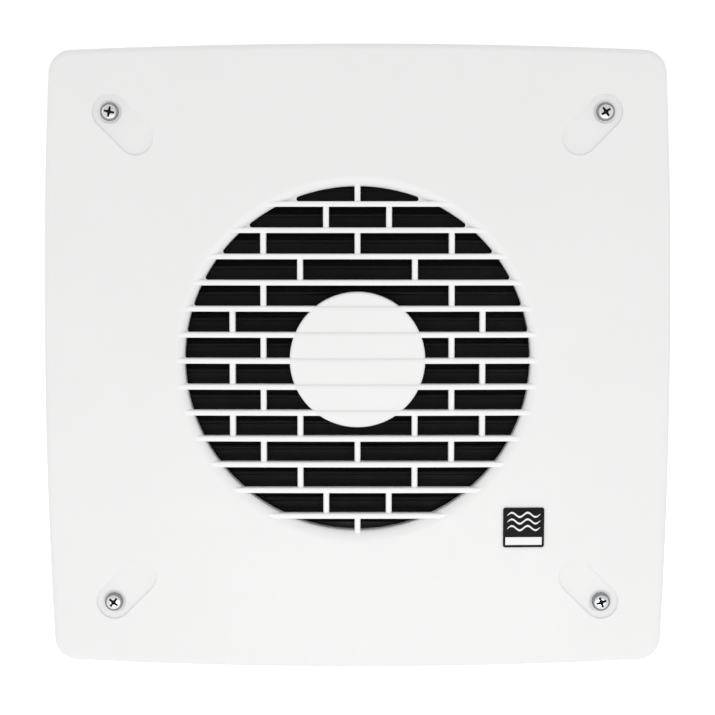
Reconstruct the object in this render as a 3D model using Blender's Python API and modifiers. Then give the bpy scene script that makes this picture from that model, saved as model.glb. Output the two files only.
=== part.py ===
"""A heat recovery unit for one room, mounted through an outer wall.

Air passes in turn both ways through a brick-pattern grille, a louvre shutter, a reversing axial fan, a filter,
a ceramic honeycomb that stores heat, a second filter, a telescopic duct and a weather louvre.

Frame: metres, +Z up, the room towards -Y and outdoors towards +Y. The origin is on the duct's axis, in the plane
of the inner wall. Every body is shown at rest: shutter closed, duct set for a wall 300 mm thick.
"""

import math

import bmesh
import bpy
from mathutils import Matrix, Vector

MM = 0.001
WELD = 0.02 * MM
GAP = 0.3 * MM  # between neighbours that rest on each other

# Cover: a domed square shell with bowed sides, and a round grille in the middle of it.
COVER_SIZE = 270 * MM
COVER_BOW = 2.6 * MM  # how far the middle of each side stands out past its ends
COVER_CORNER = 10 * MM
COVER_RIM = 3 * MM
COVER_WALL = 2.4 * MM
COVER_FRONT = -40 * MM
COVER_BACK = -1 * MM
DOME_RADIUS = 1900 * MM
SCREW_PITCH = 212 * MM

# Grille: slats at an even pitch, joined by upright bars set as in brickwork, round a disc over the motor.
THROAT_RADIUS = 74.3 * MM
LIP_RADIUS = 79 * MM
LIP_DEPTH = 3.4 * MM
THROAT_BACK = -30.5 * MM
SLAT_PITCH = 11.2 * MM
SLAT_THICK = 2.3 * MM
SLAT_LAST = 6  # slats run from -SLAT_LAST to +SLAT_LAST
SLAT_DROP = 0.5 * MM  # of the slats below the disc's centre
SLAT_BACK = -34 * MM
DISC_RADIUS = 29.1 * MM
DISC_SETBACK = 0.7 * MM
BAR_WIDTH = 2.5 * MM
BAR_SETBACK = 1.2 * MM
NEAR_BAR = 13.5 * MM
INNER_BAR = 24.6 * MM
MIDDLE_BAR = 40.4 * MM
FAR_BAR = 53.7 * MM
# The bars of each row from the top: distances from the middle, on both sides of it.
BAR_ROWS = (
    (0,),
    (NEAR_BAR,),
    (0, MIDDLE_BAR),
    (INNER_BAR,),
    (MIDDLE_BAR,),
    (FAR_BAR,),
    (MIDDLE_BAR,),
    (FAR_BAR,),
    (MIDDLE_BAR,),
    (INNER_BAR, FAR_BAR),
    (0, MIDDLE_BAR),
    (INNER_BAR,),
    (NEAR_BAR,),
    (0,),
)

# Screw recesses: long rounded hollows that point at the middle of the cover.
RECESS_WIDTH = 15 * MM
RECESS_REACH = 15.7 * MM  # from the screw to the centre of the inner end
RECESS_DEPTH = 0.9 * MM
SEAT_Y = -33 * MM
SEAT_RADIUS = 4.8 * MM
POST_RADIUS = 5.5 * MM
POST_FRONT = -29.4 * MM

# Pan-head screw.
HEAD_RADIUS = 4 * MM
HEAD_HEIGHT = 2.6 * MM
SHANK_RADIUS = 1.95 * MM
CLEAR_RADIUS = 2.35 * MM

# Wall frame, gasket and the stack of flanges on it.
FRAME_SIZE = 244 * MM
FRAME_FRONT = -5.4 * MM
FRAME_BACK = -2.7 * MM
GASKET_BACK = 0.0
FLANGE_X = 96 * MM
FLANGE_Z = 84 * MM
FAN_FLANGE = (-8.4 * MM, -5.7 * MM)
SHUTTER_FLANGE = (-11.4 * MM, -8.7 * MM)
CLAMP_X = 90 * MM
CLAMP_Z = 62 * MM

# Shutter: thirteen blades, each hinged just below its top edge, with a crank at its right end.
BLADE_COUNT = 2 * SLAT_LAST + 1
BLADE_Y = -28.2 * MM
FIRST_PIVOT = 73 * MM
BLADE_TOP = 1.2 * MM
BLADE_FOOT = -11.7 * MM
BLADE_HALF_THICK = 0.6 * MM
BLADE_LEFT = -81.2 * MM
BLADE_RIGHT = 74.9 * MM
PIVOT_RADIUS = 1.2 * MM
PIVOT_END = 84.6 * MM
CRANK_LENGTH = 6 * MM
CRANK_ANGLE = math.radians(-40)
CRANK_PIN_RADIUS = 1 * MM
SHUTTER_HALF = 82 * MM
SHUTTER_WALL = 3 * MM
SHUTTER_FRONT = -30.2 * MM
SHUTTER_BOTTOM = -73.6 * MM
SHUTTER_TOP = 80.6 * MM
TOP_LIP = 74.9 * MM
LOW_LIP = -71.6 * MM
LOW_LIP_BACK = -27.2 * MM

# Link bar and the wax actuator that lifts it.
BAR_X = (77.4 * MM, 79.2 * MM)
BAR_HALF_DEPTH = 2.4 * MM
ACTUATOR_X = 78.3 * MM
ACTUATOR_Y = -23 * MM
ACTUATOR_RADIUS = 8 * MM
PLUNGER_RADIUS = 2.2 * MM

# Lead from the control box to the motor.
LEAD_RADIUS = 1.5 * MM
LEAD_X = -40 * MM
LEAD_Y = -14.3 * MM

# Fan: a shroud with a motor on four struts, and an impeller turning on the motor's outer rotor.
SHROUD_INNER = 73.3 * MM
SHROUD_OUTER = 75.3 * MM
SHROUD_BACK = 38 * MM
STRUT_FRONT = -12.4 * MM
MOTOR_PLATE_RADIUS = 29 * MM
HUB_RADIUS = 29 * MM
TIP_RADIUS = 72 * MM
FAN_BLADES = 7
BEARING_RADIUS = 6.5 * MM
SHAFT_RADIUS = 2.5 * MM

# Duct, filters and heat store.
DUCT_INNER = 77.3 * MM
DUCT_OUTER = 80 * MM
DUCT_START = 0.5 * MM
DUCT_END = 230 * MM
CARTRIDGE_RADIUS = 76.9 * MM
FILTER_INNER = (40 * MM, 52 * MM)
CORE = (56 * MM, 206 * MM)
FILTER_OUTER = (210 * MM, 222 * MM)
CORE_RADIUS = 70.8 * MM
CELL_PITCH = 16 * MM
CELL_SIZE = 12.5 * MM

# Outdoor end.
SLEEVE_INNER = 80.5 * MM
SLEEVE_OUTER = 82.6 * MM
SLEEVE_START = 130 * MM
SLEEVE_END = 296 * MM
SHOULDER_RADIUS = 83.6 * MM
WALL_OUTSIDE = 300 * MM
OUTER_SIZE = 190 * MM
OUTER_FRONT = 327 * MM
OUTER_SCREW = 82 * MM
SCREEN_BARS = 3
LOUVRE_COUNT = 7
LOUVRE_PITCH = 21 * MM
LOUVRE_TILT = math.radians(40)

PARTS = bpy.data.collections.new("heat_recovery_unit")


# ---------------------------------------------------------------- shapes


def add(name, mesh):
    obj = bpy.data.objects.new(name, mesh)
    PARTS.objects.link(obj)
    return obj


def from_bmesh(name, shape):
    mesh = bpy.data.meshes.new(name)
    shape.to_mesh(mesh)
    shape.free()
    return add(name, mesh)


def baked(obj):
    """Replaces an object by a plain welded mesh of what its modifiers or its curve make, in world space."""
    bpy.context.view_layer.update()
    graph = bpy.context.evaluated_depsgraph_get()
    mesh = bpy.data.meshes.new_from_object(obj.evaluated_get(graph))
    mesh.transform(obj.matrix_world)
    welded = bmesh.new()
    welded.from_mesh(mesh)
    bmesh.ops.remove_doubles(welded, verts=welded.verts, dist=WELD)
    welded.to_mesh(mesh)
    welded.free()
    name = obj.name
    bpy.data.objects.remove(obj)
    return add(name, mesh)


def box(name, low, high):
    """A block between two corners."""
    low, high = Vector(low), Vector(high)
    shape = bmesh.new()
    bmesh.ops.create_cube(shape, size=1)
    bmesh.ops.scale(shape, vec=high - low, verts=shape.verts)
    bmesh.ops.translate(shape, vec=(low + high) / 2, verts=shape.verts)
    return from_bmesh(name, shape)


def rod(name, radius, start, end, sides=12):
    """A solid cylinder from one point to another."""
    start, end = Vector(start), Vector(end)
    turn = Vector((0, 0, 1)).rotation_difference(end - start).to_matrix().to_4x4()
    shape = bmesh.new()
    bmesh.ops.create_cone(
        shape,
        cap_ends=True,
        segments=sides,
        radius1=radius,
        radius2=radius,
        depth=(end - start).length,
        matrix=Matrix.Translation((start + end) / 2) @ turn,
    )
    return from_bmesh(name, shape)


def rod_along_y(name, radius, x, z, start, end, sides=12):
    return rod(name, radius, (x, start, z), (x, end, z), sides)


def turned(name, profile, steps=40):
    """A solid of revolution round Y. Its (radius, y) profile closes itself, or begins and ends on the axis."""
    on_axis = profile[0][0] == 0
    following = profile[1:] + profile[:1]
    area = sum(a[0] * b[1] - b[0] * a[1] for a, b in zip(profile, following))
    if area > 0:
        profile = profile[::-1]
    count = len(profile)
    edges = [(i, i + 1) for i in range(count - 1)]
    if not on_axis:
        edges.append((count - 1, 0))
    mesh = bpy.data.meshes.new(name)
    mesh.from_pydata([(radius, 0, y) for radius, y in profile], edges, [])
    obj = add(name, mesh)
    obj.rotation_euler.x = math.radians(-90)
    screw = obj.modifiers.new("turn", "SCREW")
    screw.steps = screw.render_steps = steps
    screw.use_merge_vertices = True
    screw.merge_threshold = WELD
    return baked(obj)


def ring(name, inner, outer, start, end, steps=40):
    return turned(name, [(outer, end), (outer, start), (inner, start), (inner, end)], steps)


def extruded(name, outlines, start, end, along="Y"):
    """A plate from start to end along Y or X. The first outline is its edge, and the others are holes in it."""
    curve = bpy.data.curves.new(name, "CURVE")
    curve.dimensions = "2D"
    curve.fill_mode = "BOTH"
    curve.extrude = (end - start) / 2
    for outline in outlines:
        spline = curve.splines.new("POLY")
        spline.points.add(len(outline) - 1)
        for point, (u, v) in zip(spline.points, outline):
            point.co = (u, v, 0, 1)
        spline.use_cyclic_u = True
    obj = add(name, curve)
    middle = (start + end) / 2
    if along == "Y":
        obj.matrix_world = Matrix.Translation((0, middle, 0)) @ Matrix.Rotation(math.radians(90), 4, "X")
    else:
        turn = Matrix(((0, 0, 1, 0), (1, 0, 0, 0), (0, 1, 0, 0), (0, 0, 0, 1)))
        obj.matrix_world = Matrix.Translation((middle, 0, 0)) @ turn
    return baked(obj)


def combined(target, others, operation):
    """The target joined to the others, cut by them, or kept only where they are. The others are used up."""
    for other in others:
        modifier = target.modifiers.new(operation.lower(), "BOOLEAN")
        modifier.operation = operation
        modifier.object = other
    result = baked(target)
    for other in others:
        bpy.data.objects.remove(other)
    return result


def joined(target, *others):
    return combined(target, others, "UNION")


def cut(target, *cutters):
    return combined(target, cutters, "DIFFERENCE")


def with_origin(obj, point):
    """Moves an object's origin, such as to a point on its joint's axis, and leaves its shape where it is."""
    obj.data.transform(Matrix.Translation(-Vector(point)))
    obj.location = point
    return obj


def named(obj, name):
    obj.name = name
    obj.data.name = name
    return obj


def copies(obj, places):
    """Objects that share one mesh: the first is obj itself, and each has a name and a place of its own."""
    made = []
    for name, place in places:
        copy = obj if not made else add(name, obj.data)
        copy.name = name
        copy.location = place
        made.append(copy)
    return made


# ---------------------------------------------------------------- outlines


def arc(centre, radius, start, end, steps):
    """Points along an arc, from one angle in degrees to another, both included."""
    angles = [math.radians(start + (end - start) * i / steps) for i in range(steps + 1)]
    return [(centre[0] + radius * math.cos(a), centre[1] + radius * math.sin(a)) for a in angles]


def circle(radius, sides, centre=(0, 0)):
    return arc(centre, radius, 0, 360, sides)[:-1]


def rounded_rectangle(half_x, half_z, radius, steps=4):
    points = []
    for quarter, (sx, sz) in enumerate(((1, 1), (-1, 1), (-1, -1), (1, -1))):
        centre = (sx * (half_x - radius), sz * (half_z - radius))
        points += arc(centre, radius, 90 * quarter, 90 * quarter + 90, steps)
    return points


def rectangle(half_x, half_z):
    return [(half_x, half_z), (-half_x, half_z), (-half_x, -half_z), (half_x, -half_z)]


def cover_outline(inset, corner_steps=3, side_steps=6):
    """The cover's edge, moved inwards by inset: four long arcs for its bowed sides and tangent corner arcs."""
    half = COVER_SIZE / 2
    chord = half - COVER_BOW - COVER_CORNER * (1 - math.sqrt(0.5))
    side_radius = (chord**2 + COVER_BOW**2) / (2 * COVER_BOW)
    behind = side_radius - half
    reach = side_radius - COVER_CORNER
    corner = (math.sqrt(2 * reach**2 - behind**2) - behind) / 2
    tangent = math.degrees(math.atan2(corner, corner + behind))
    points = []
    for quarter in range(4):
        turn = Matrix.Rotation(math.radians(90 * quarter), 2)
        side = arc((-behind, 0), side_radius - inset, -tangent, tangent, side_steps)
        bend = arc((corner, corner), COVER_CORNER - inset, tangent, 90 - tangent, corner_steps)
        points += [tuple(turn @ Vector(p)) for p in side[:-1] + bend[:-1]]
    return points


def dome(radius):
    """y of the cover's front face at a distance from the duct's axis."""
    return COVER_FRONT + radius**2 / (2 * DOME_RADIUS)


# ---------------------------------------------------------------- cover


def cover_skin():
    """The cover's outer face as an open surface, lofted from its throat over the dome to its skirt."""
    edge = cover_outline(0)
    inner_edge = cover_outline(COVER_RIM)
    headings = [Vector(p).normalized() for p in inner_edge]

    def round_ring(radius, y):
        return [(h.x * radius, y, h.y * radius) for h in headings]

    def dome_ring(share):
        start = [h * LIP_RADIUS for h in headings]
        points = [s.lerp(Vector(e), share) for s, e in zip(start, inner_edge)]
        return [(p.x, dome(p.length), p.y) for p in points]

    def rim_ring(angle):
        outline = cover_outline(COVER_RIM * (1 - math.sin(angle)))
        drop = COVER_RIM * (1 - math.cos(angle))
        return [(x, dome(Vector(p).length) + drop, z) for (x, z), p in zip(outline, inner_edge)]

    lip_width = LIP_RADIUS - THROAT_RADIUS
    lip_top = dome(LIP_RADIUS)
    rings = [round_ring(THROAT_RADIUS, THROAT_BACK)]
    for angle in (math.radians(a) for a in (0, 45)):
        radius = LIP_RADIUS - lip_width * math.cos(angle)
        rings.append(round_ring(radius, lip_top + LIP_DEPTH * (1 - math.sin(angle))))
    rings += [dome_ring(share) for share in (0, 0.5, 1)]
    rings += [rim_ring(math.radians(a)) for a in (45, 90)]
    rings.append([(x, COVER_BACK, z) for x, z in edge])

    shape = bmesh.new()
    loops = [[shape.verts.new(p) for p in points] for points in rings]
    for first, second in zip(loops, loops[1:]):
        for i in range(len(first)):
            j = (i + 1) % len(first)
            shape.faces.new((first[i], second[i], second[j], first[j]))
    bmesh.ops.recalc_face_normals(shape, faces=shape.faces)
    return from_bmesh("cover_skin", shape)


def brick_grille():
    """Slats, bars and the middle disc, trimmed to the dome in front, a plane behind and the lip around them."""
    front = COVER_FRONT - 2 * MM
    back = SLAT_BACK + 2 * MM
    reach = LIP_RADIUS + 2 * MM
    half = SLAT_THICK / 2
    slats = []
    for k in range(-SLAT_LAST, SLAT_LAST + 1):
        z = k * SLAT_PITCH - SLAT_DROP
        slats.append(box("slat", (-reach, front, z - half), (reach, back, z + half)))
    bars = []
    for row, offsets in enumerate(BAR_ROWS):
        top = (SLAT_LAST + 1 - row) * SLAT_PITCH - SLAT_DROP
        for offset in offsets:
            for x in sorted({offset, -offset}):
                low = (x - BAR_WIDTH / 2, COVER_FRONT + BAR_SETBACK, top - SLAT_PITCH)
                high = (x + BAR_WIDTH / 2, back - 0.5 * MM, top)
                bars.append(box("bar", low, high))
    disc = rod_along_y("disc", DISC_RADIUS, 0, 0, COVER_FRONT + DISC_SETBACK, back - MM, sides=32)
    grille = joined(disc, *slats, *bars)
    edge, flat = LIP_RADIUS - 0.5 * MM, 0.55 * LIP_RADIUS
    face = [(0, COVER_FRONT), (flat, COVER_FRONT), (edge, dome(edge) + 0.1 * MM)]
    lens = turned("lens", face + [(edge, SLAT_BACK), (0, SLAT_BACK)], steps=32)
    return combined(grille, [lens], "INTERSECT")


def recess_cutter(sx, sz):
    """The hollow round one cover screw, with its floor parallel to the dome there."""
    half = RECESS_WIDTH / 2
    outline = arc((0, 0), half, -90, 90, 6) + arc((-RECESS_REACH, 0), half, 90, 270, 6)
    cutter = extruded("recess", [outline], -10 * MM, 0)
    middle = math.hypot(SCREW_PITCH, SCREW_PITCH) / 2 - RECESS_REACH / 2
    slope = math.atan(middle / DOME_RADIUS)
    place = Matrix.Translation((middle, dome(middle) + RECESS_DEPTH, 0))
    tilt = Matrix.Rotation(slope, 4, "Z")
    aim = Matrix.Rotation(-math.atan2(sz, sx), 4, "Y")
    centre = Matrix.Translation((RECESS_REACH / 2, 0, 0))
    cutter.data.transform(aim @ place @ tilt @ centre)
    return cutter


def corners(half_x, half_z=None):
    """The four corners of a rectangle round the axis, as (suffix, x, z)."""
    half_z = half_x if half_z is None else half_z
    return [
        ("top_left", -half_x, half_z),
        ("top_right", half_x, half_z),
        ("bottom_left", -half_x, -half_z),
        ("bottom_right", half_x, -half_z),
    ]


def front_grille():
    skin = cover_skin()
    wall = skin.modifiers.new("wall", "SOLIDIFY")
    wall.thickness = COVER_WALL
    wall.offset = -1
    shell = baked(skin)
    bosses, recesses, seats, holes = [], [], [], []
    for _, x, z in corners(SCREW_PITCH / 2):
        boss_back = POST_FRONT - GAP
        bosses.append(rod_along_y("boss", POST_RADIUS + MM, x, z, SEAT_Y - 0.2 * MM, boss_back))
        recesses.append(recess_cutter(x, z))
        seats.append(rod_along_y("seat", SEAT_RADIUS, x, z, COVER_FRONT, SEAT_Y))
        holes.append(rod_along_y("hole", CLEAR_RADIUS, x, z, COVER_FRONT, 0, sides=8))
    shell = joined(shell, *bosses)
    shell = cut(shell, *recesses, *seats, *holes)
    return named(joined(shell, brick_grille()), "front_grille")


def badge():
    """A small plate stuck on the dome, low on the right."""
    x, z = 71.8 * MM, -72.8 * MM
    half_x, half_z = 8.9 * MM, 8.7 * MM
    plate = extruded("badge", [rounded_rectangle(half_x, half_z, 1.2 * MM, steps=3)], -0.5 * MM, 0)
    out = math.hypot(x, z)
    slope_x = Matrix.Rotation(x / DOME_RADIUS, 4, "Z")
    slope_z = Matrix.Rotation(-z / DOME_RADIUS, 4, "X")
    stand_off = 0.15 * MM
    plate.data.transform(Matrix.Translation((x, dome(out) - stand_off, z)) @ slope_x @ slope_z)
    return plate


def pan_screw(name, length, crossed):
    """A pan-head screw along +Y, with its origin under the head, and a cross in the head if it shows."""
    head = [(0, -HEAD_HEIGHT), (0.75 * HEAD_RADIUS, -2.1 * MM), (HEAD_RADIUS, -1.1 * MM), (HEAD_RADIUS, 0)]
    shank = [(SHANK_RADIUS, 0), (SHANK_RADIUS, length - 1.5 * MM), (0, length)]
    screw = turned(name, head + shank, steps=10)
    if not crossed:
        return screw
    half, reach, depth = 0.5 * MM, 2.3 * MM, -1.2 * MM
    across = box("across", (-reach, -HEAD_HEIGHT - MM, -half), (reach, depth, half))
    upright = box("upright", (-half, -HEAD_HEIGHT - MM, -reach), (half, depth, reach))
    return cut(screw, across, upright)


# ---------------------------------------------------------------- wall frame and shutter


def base_frame():
    """The moulded plate that is fixed to the wall and carries everything on the room side."""
    half = FRAME_SIZE / 2
    holes = [circle(77 * MM, 32), circle(6.6 * MM, 12, (45 * MM, -104 * MM))]
    holes += [circle(2.8 * MM, 8, (sx * 112 * MM, sz * 60 * MM)) for sx in (-1, 1) for sz in (-1, 1)]
    plate = extruded("base_frame", [rounded_rectangle(half, half, 8 * MM), *holes], FRAME_FRONT, FRAME_BACK)
    posts, bores = [], []
    for _, x, z in corners(SCREW_PITCH / 2):
        posts.append(rod_along_y("post", POST_RADIUS, x, z, POST_FRONT, FRAME_BACK - MM))
        bores.append(rod_along_y("bore", CLEAR_RADIUS, x, z, POST_FRONT - MM, 0, sides=8))
    for _, x, z in corners(CLAMP_X, CLAMP_Z):
        bores.append(rod_along_y("bore", CLEAR_RADIUS, x, z, -10 * MM, 0, sides=8))
    return cut(joined(plate, *posts), *bores)


def wall_gasket():
    return ring("wall_gasket", 82 * MM, 100 * MM, FRAME_BACK + GAP, GASKET_BACK, steps=32)


def cable_grommet():
    """A rubber grommet for the supply cable, with a groove that grips the wall frame."""
    flange, neck, bore = 8.4 * MM, 6.2 * MM, 4 * MM
    front, back = FRAME_FRONT - GAP, FRAME_BACK + GAP
    profile = [(bore, front - 1.4 * MM), (flange, front - 1.4 * MM), (flange, front), (neck, front)]
    profile += [(neck, back), (flange, back), (flange, back + 1.2 * MM), (bore, back + 1.2 * MM)]
    grommet = turned("cable_grommet", profile, steps=12)
    grommet.data.transform(Matrix.Translation((45 * MM, 0, -104 * MM)))
    return grommet


def pivot_heights():
    """The z of each shutter blade's pivot, from the top down."""
    return [FIRST_PIVOT - i * SLAT_PITCH for i in range(BLADE_COUNT)]


def crank_pin():
    """Where a closed blade's crank pin is, as (y, z) from its pivot."""
    return CRANK_LENGTH * math.cos(CRANK_ANGLE), CRANK_LENGTH * math.sin(CRANK_ANGLE)


def shutter_blade():
    """One blade: a strip whose foot steps back behind the next blade, pivots at both ends, and a crank."""
    t, step = BLADE_HALF_THICK, 1.5 * MM
    outline = [(-t, BLADE_TOP), (-t, -7.4 * MM), (step, -9.2 * MM), (step, BLADE_FOOT)]
    outline += [(step + 2 * t, BLADE_FOOT), (step + 2 * t, -8.8 * MM), (t, -7 * MM), (t, BLADE_TOP)]
    strip = extruded("blade", [outline], BLADE_LEFT, BLADE_RIGHT, along="X")
    pivots = rod("pivots", PIVOT_RADIUS, (-PIVOT_END, 0, 0), (PIVOT_END, 0, 0), sides=6)
    arm = box("arm", (BLADE_RIGHT + 0.5 * MM, -1 * MM, -1.2 * MM), (76.8 * MM, 7.5 * MM, 1.2 * MM))
    arm.data.transform(Matrix.Rotation(CRANK_ANGLE, 4, "X"))
    y, z = crank_pin()
    pin = rod("pin", CRANK_PIN_RADIUS, (76 * MM, y, z), (80 * MM, y, z), sides=6)
    return joined(strip, pivots, arm, pin)


def shutter_blades():
    places = [
        (f"shutter_blade_{i:02d}", (0, BLADE_Y, z)) for i, z in enumerate(pivot_heights(), start=1)
    ]
    return copies(shutter_blade(), places)


def shutter_frame():
    """A deep square frame with a row of pivot holes down each side, clamped to the fan by its back flange."""
    step = 0.4 * MM
    outer = SHUTTER_HALF + SHUTTER_WALL
    top, bottom = SHUTTER_TOP + SHUTTER_WALL, SHUTTER_BOTTOM - SHUTTER_WALL
    front, back = SHUTTER_FRONT, SHUTTER_FLANGE[1] - step
    edge = [(front, bottom + step), (back, bottom + step), (back, top - step), (front, top - step)]
    pivots = [circle(PIVOT_RADIUS + GAP, 6, (BLADE_Y, z)) for z in pivot_heights()]
    left = extruded("left", [edge, *pivots], -outer, -SHUTTER_HALF, along="X")
    right = extruded("right", [edge, *pivots], SHUTTER_HALF, outer, along="X")
    inside = outer - step
    front += step
    top_plate = box("top_plate", (-inside, front, SHUTTER_TOP), (inside, back - step, top))
    low_plate = box("low_plate", (-inside, front, bottom), (inside, back - step, SHUTTER_BOTTOM))
    left_end, right_end = -SHUTTER_HALF - MM, BLADE_RIGHT - MM
    front += step
    top_lip = box("top_lip", (left_end, front, TOP_LIP), (right_end, BLADE_Y + 2 * MM, SHUTTER_TOP + MM))
    low_lip = box("low_lip", (left_end, front, SHUTTER_BOTTOM - MM), (right_end, LOW_LIP_BACK, LOW_LIP))
    flange_edge = rounded_rectangle(FLANGE_X, FLANGE_Z, 6 * MM, steps=3)
    window = [
        (SHUTTER_HALF + MM, SHUTTER_TOP + MM),
        (-SHUTTER_HALF - MM, SHUTTER_TOP + MM),
        (-SHUTTER_HALF - MM, SHUTTER_BOTTOM - MM),
        (SHUTTER_HALF + MM, SHUTTER_BOTTOM - MM),
    ]
    clamps = [circle(CLEAR_RADIUS, 8, (x, z)) for _, x, z in corners(CLAMP_X, CLAMP_Z)]
    flange = extruded("shutter_frame", [flange_edge, window, *clamps], *SHUTTER_FLANGE)
    frame = joined(flange, left, right, top_plate, low_plate, top_lip, low_lip)
    plunger_foot = (ACTUATOR_X, ACTUATOR_Y, bottom - MM)
    plunger_top = (ACTUATOR_X, ACTUATOR_Y, SHUTTER_BOTTOM + MM)
    lead_foot = (LEAD_X, LEAD_Y, bottom - MM)
    lead_top = (LEAD_X, LEAD_Y, SHUTTER_BOTTOM + MM)
    plunger_hole = rod("plunger_hole", PLUNGER_RADIUS + 2 * GAP, plunger_foot, plunger_top)
    lead_hole = rod("lead_hole", LEAD_RADIUS + 2 * GAP, lead_foot, lead_top)
    return cut(frame, plunger_hole, lead_hole)


def link_bar():
    """The upright bar that joins all the cranks. Its origin is on the top blade's crank pin."""
    y, z = crank_pin()
    pins = [(BLADE_Y + y, height + z) for height in pivot_heights()]
    end = 2.4 * MM
    low, high = pins[-1][1] - end, pins[0][1] + end
    middle = BLADE_Y + y
    edge = [
        (middle - BAR_HALF_DEPTH, low),
        (middle + BAR_HALF_DEPTH, low),
        (middle + BAR_HALF_DEPTH, high),
        (middle - BAR_HALF_DEPTH, high),
    ]
    holes = [circle(CRANK_PIN_RADIUS + GAP, 6, pin) for pin in pins]
    bar = extruded("link_bar", [edge, *holes], *BAR_X, along="X")
    return with_origin(bar, (0, pins[0][0], pins[0][1]))


def actuator():
    """The wax actuator below the shutter, with a foot on the wall frame, and its plunger under the link bar."""
    top = SHUTTER_BOTTOM - SHUTTER_WALL - GAP
    at = (ACTUATOR_X, ACTUATOR_Y)
    body = rod("actuator_body", ACTUATOR_RADIUS, (*at, -112 * MM), (*at, top), sides=20)
    collar = rod("collar", 5 * MM, (*at, -117 * MM), (*at, -111 * MM), sides=12)
    foot = box(
        "foot", (66 * MM, ACTUATOR_Y + 6 * MM, -110 * MM), (90 * MM, FRAME_FRONT - GAP, -90 * MM)
    )
    bore = rod("bore", PLUNGER_RADIUS + 0.4 * MM, (*at, -97 * MM), (*at, top + MM), sides=12)
    body = cut(joined(body, collar, foot), bore)
    bar_foot = pivot_heights()[-1] + crank_pin()[1] - 2.4 * MM
    plunger = rod("actuator_plunger", PLUNGER_RADIUS, (*at, -95 * MM), (*at, bar_foot - GAP), sides=12)
    return body, with_origin(plunger, (*at, bar_foot - GAP))


# ---------------------------------------------------------------- fan


def fan_shroud():
    """The fan's flanged tube, with four struts that hold the motor plate and the bearing boss."""
    clamps = [circle(CLEAR_RADIUS, 8, (x, z)) for _, x, z in corners(CLAMP_X, CLAMP_Z)]
    edge = rounded_rectangle(FLANGE_X, FLANGE_Z, 6 * MM, steps=3)
    flange = extruded("fan_shroud", [edge, circle(74.2 * MM, 36), *clamps], *FAN_FLANGE)
    tube = ring("tube", SHROUD_INNER, SHROUD_OUTER, FAN_FLANGE[0] + 0.3 * MM, SHROUD_BACK, steps=32)
    plate = rod_along_y("plate", MOTOR_PLATE_RADIUS, 0, 0, STRUT_FRONT, -9.8 * MM, sides=24)
    boss = rod_along_y("boss", 9 * MM, 0, 0, -11 * MM, 8 * MM, sides=16)
    struts = []
    for quarter in range(4):
        strut = box("strut", (27 * MM, STRUT_FRONT + 0.3 * MM, -2 * MM), (74.3 * MM, -6.2 * MM, 2 * MM))
        strut.data.transform(Matrix.Rotation(math.radians(45 + 90 * quarter), 4, "Y"))
        struts.append(strut)
    bore = rod_along_y("bore", BEARING_RADIUS + GAP, 0, 0, -20 * MM, 20 * MM, sides=16)
    return cut(joined(flange, tube, plate, boss, *struts), bore)


def stator():
    """The motor's stack of laminations: nine teeth with wide heads round the bearing boss."""
    teeth = 9
    tooth = ((13, -8), (18.2, -6), (18.8, -16), (21.5, -16), (21.5, 16), (18.8, 16), (18.2, 6), (13, 8))
    outline = []
    for i in range(teeth):
        for radius, offset in tooth:
            angle = math.radians(360 * i / teeth + offset)
            outline.append((radius * MM * math.cos(angle), radius * MM * math.sin(angle)))
    return extruded("stator", [outline, circle(9.4 * MM, 16)], -5 * MM, 6 * MM)


def motor_small_parts():
    """The motor's board, two bearings, the rotor can, the shaft and the clip that holds the impeller on it."""
    bearing_bore = SHAFT_RADIUS + GAP
    board = ring("motor_board", 9.4 * MM, 26 * MM, -9 * MM, -7.6 * MM, steps=24)
    front = ring("bearing_front", bearing_bore, BEARING_RADIUS, -11.5 * MM, -7.5 * MM, steps=12)
    back = ring("bearing_back", bearing_bore, BEARING_RADIUS, 3 * MM, 7 * MM, steps=12)
    wall, outer = 1.2 * MM, 25.2 * MM
    can_front, can_back = -6 * MM, 10 * MM
    profile = [
        (bearing_bore, can_back),
        (outer, can_back),
        (outer, can_front),
        (outer - wall, can_front),
        (outer - wall, can_back - wall),
        (bearing_bore, can_back - wall),
    ]
    can = turned("rotor_can", profile, steps=24)
    shaft = rod_along_y("motor_shaft", SHAFT_RADIUS, 0, 0, -12 * MM, 19 * MM, sides=12)
    clip = ring("shaft_clip", bearing_bore, 5 * MM, 14.4 * MM, 15.6 * MM, steps=12)
    return board, front, back, can, shaft, clip


def fan_blade(index):
    """One impeller blade: a twisted sheet from the hub to the tip, thickened."""
    hub_pitch, tip_pitch = math.radians(42), math.radians(24)
    hub_chord, tip_chord = 27 * MM, 43 * MM
    root = HUB_RADIUS - 1.2 * MM
    sheet = bmesh.new()
    bmesh.ops.create_grid(sheet, x_segments=3, y_segments=3, size=0.5)
    for vert in sheet.verts:
        span, along = vert.co.x + 0.5, vert.co.y
        radius = root + (TIP_RADIUS - root) * span
        pitch = hub_pitch + (tip_pitch - hub_pitch) * span
        chord = (hub_chord + (tip_chord - hub_chord) * span) * along
        angle = 2 * math.pi * index / FAN_BLADES + chord * math.cos(pitch) / radius
        height = 4.6 * MM + chord * math.sin(pitch)
        vert.co = (radius * math.cos(angle), height, radius * math.sin(angle))
    blade = from_bmesh("fan_blade", sheet)
    thick = blade.modifiers.new("thick", "SOLIDIFY")
    thick.thickness = 1.8 * MM
    thick.offset = 0
    return baked(blade)


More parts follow.
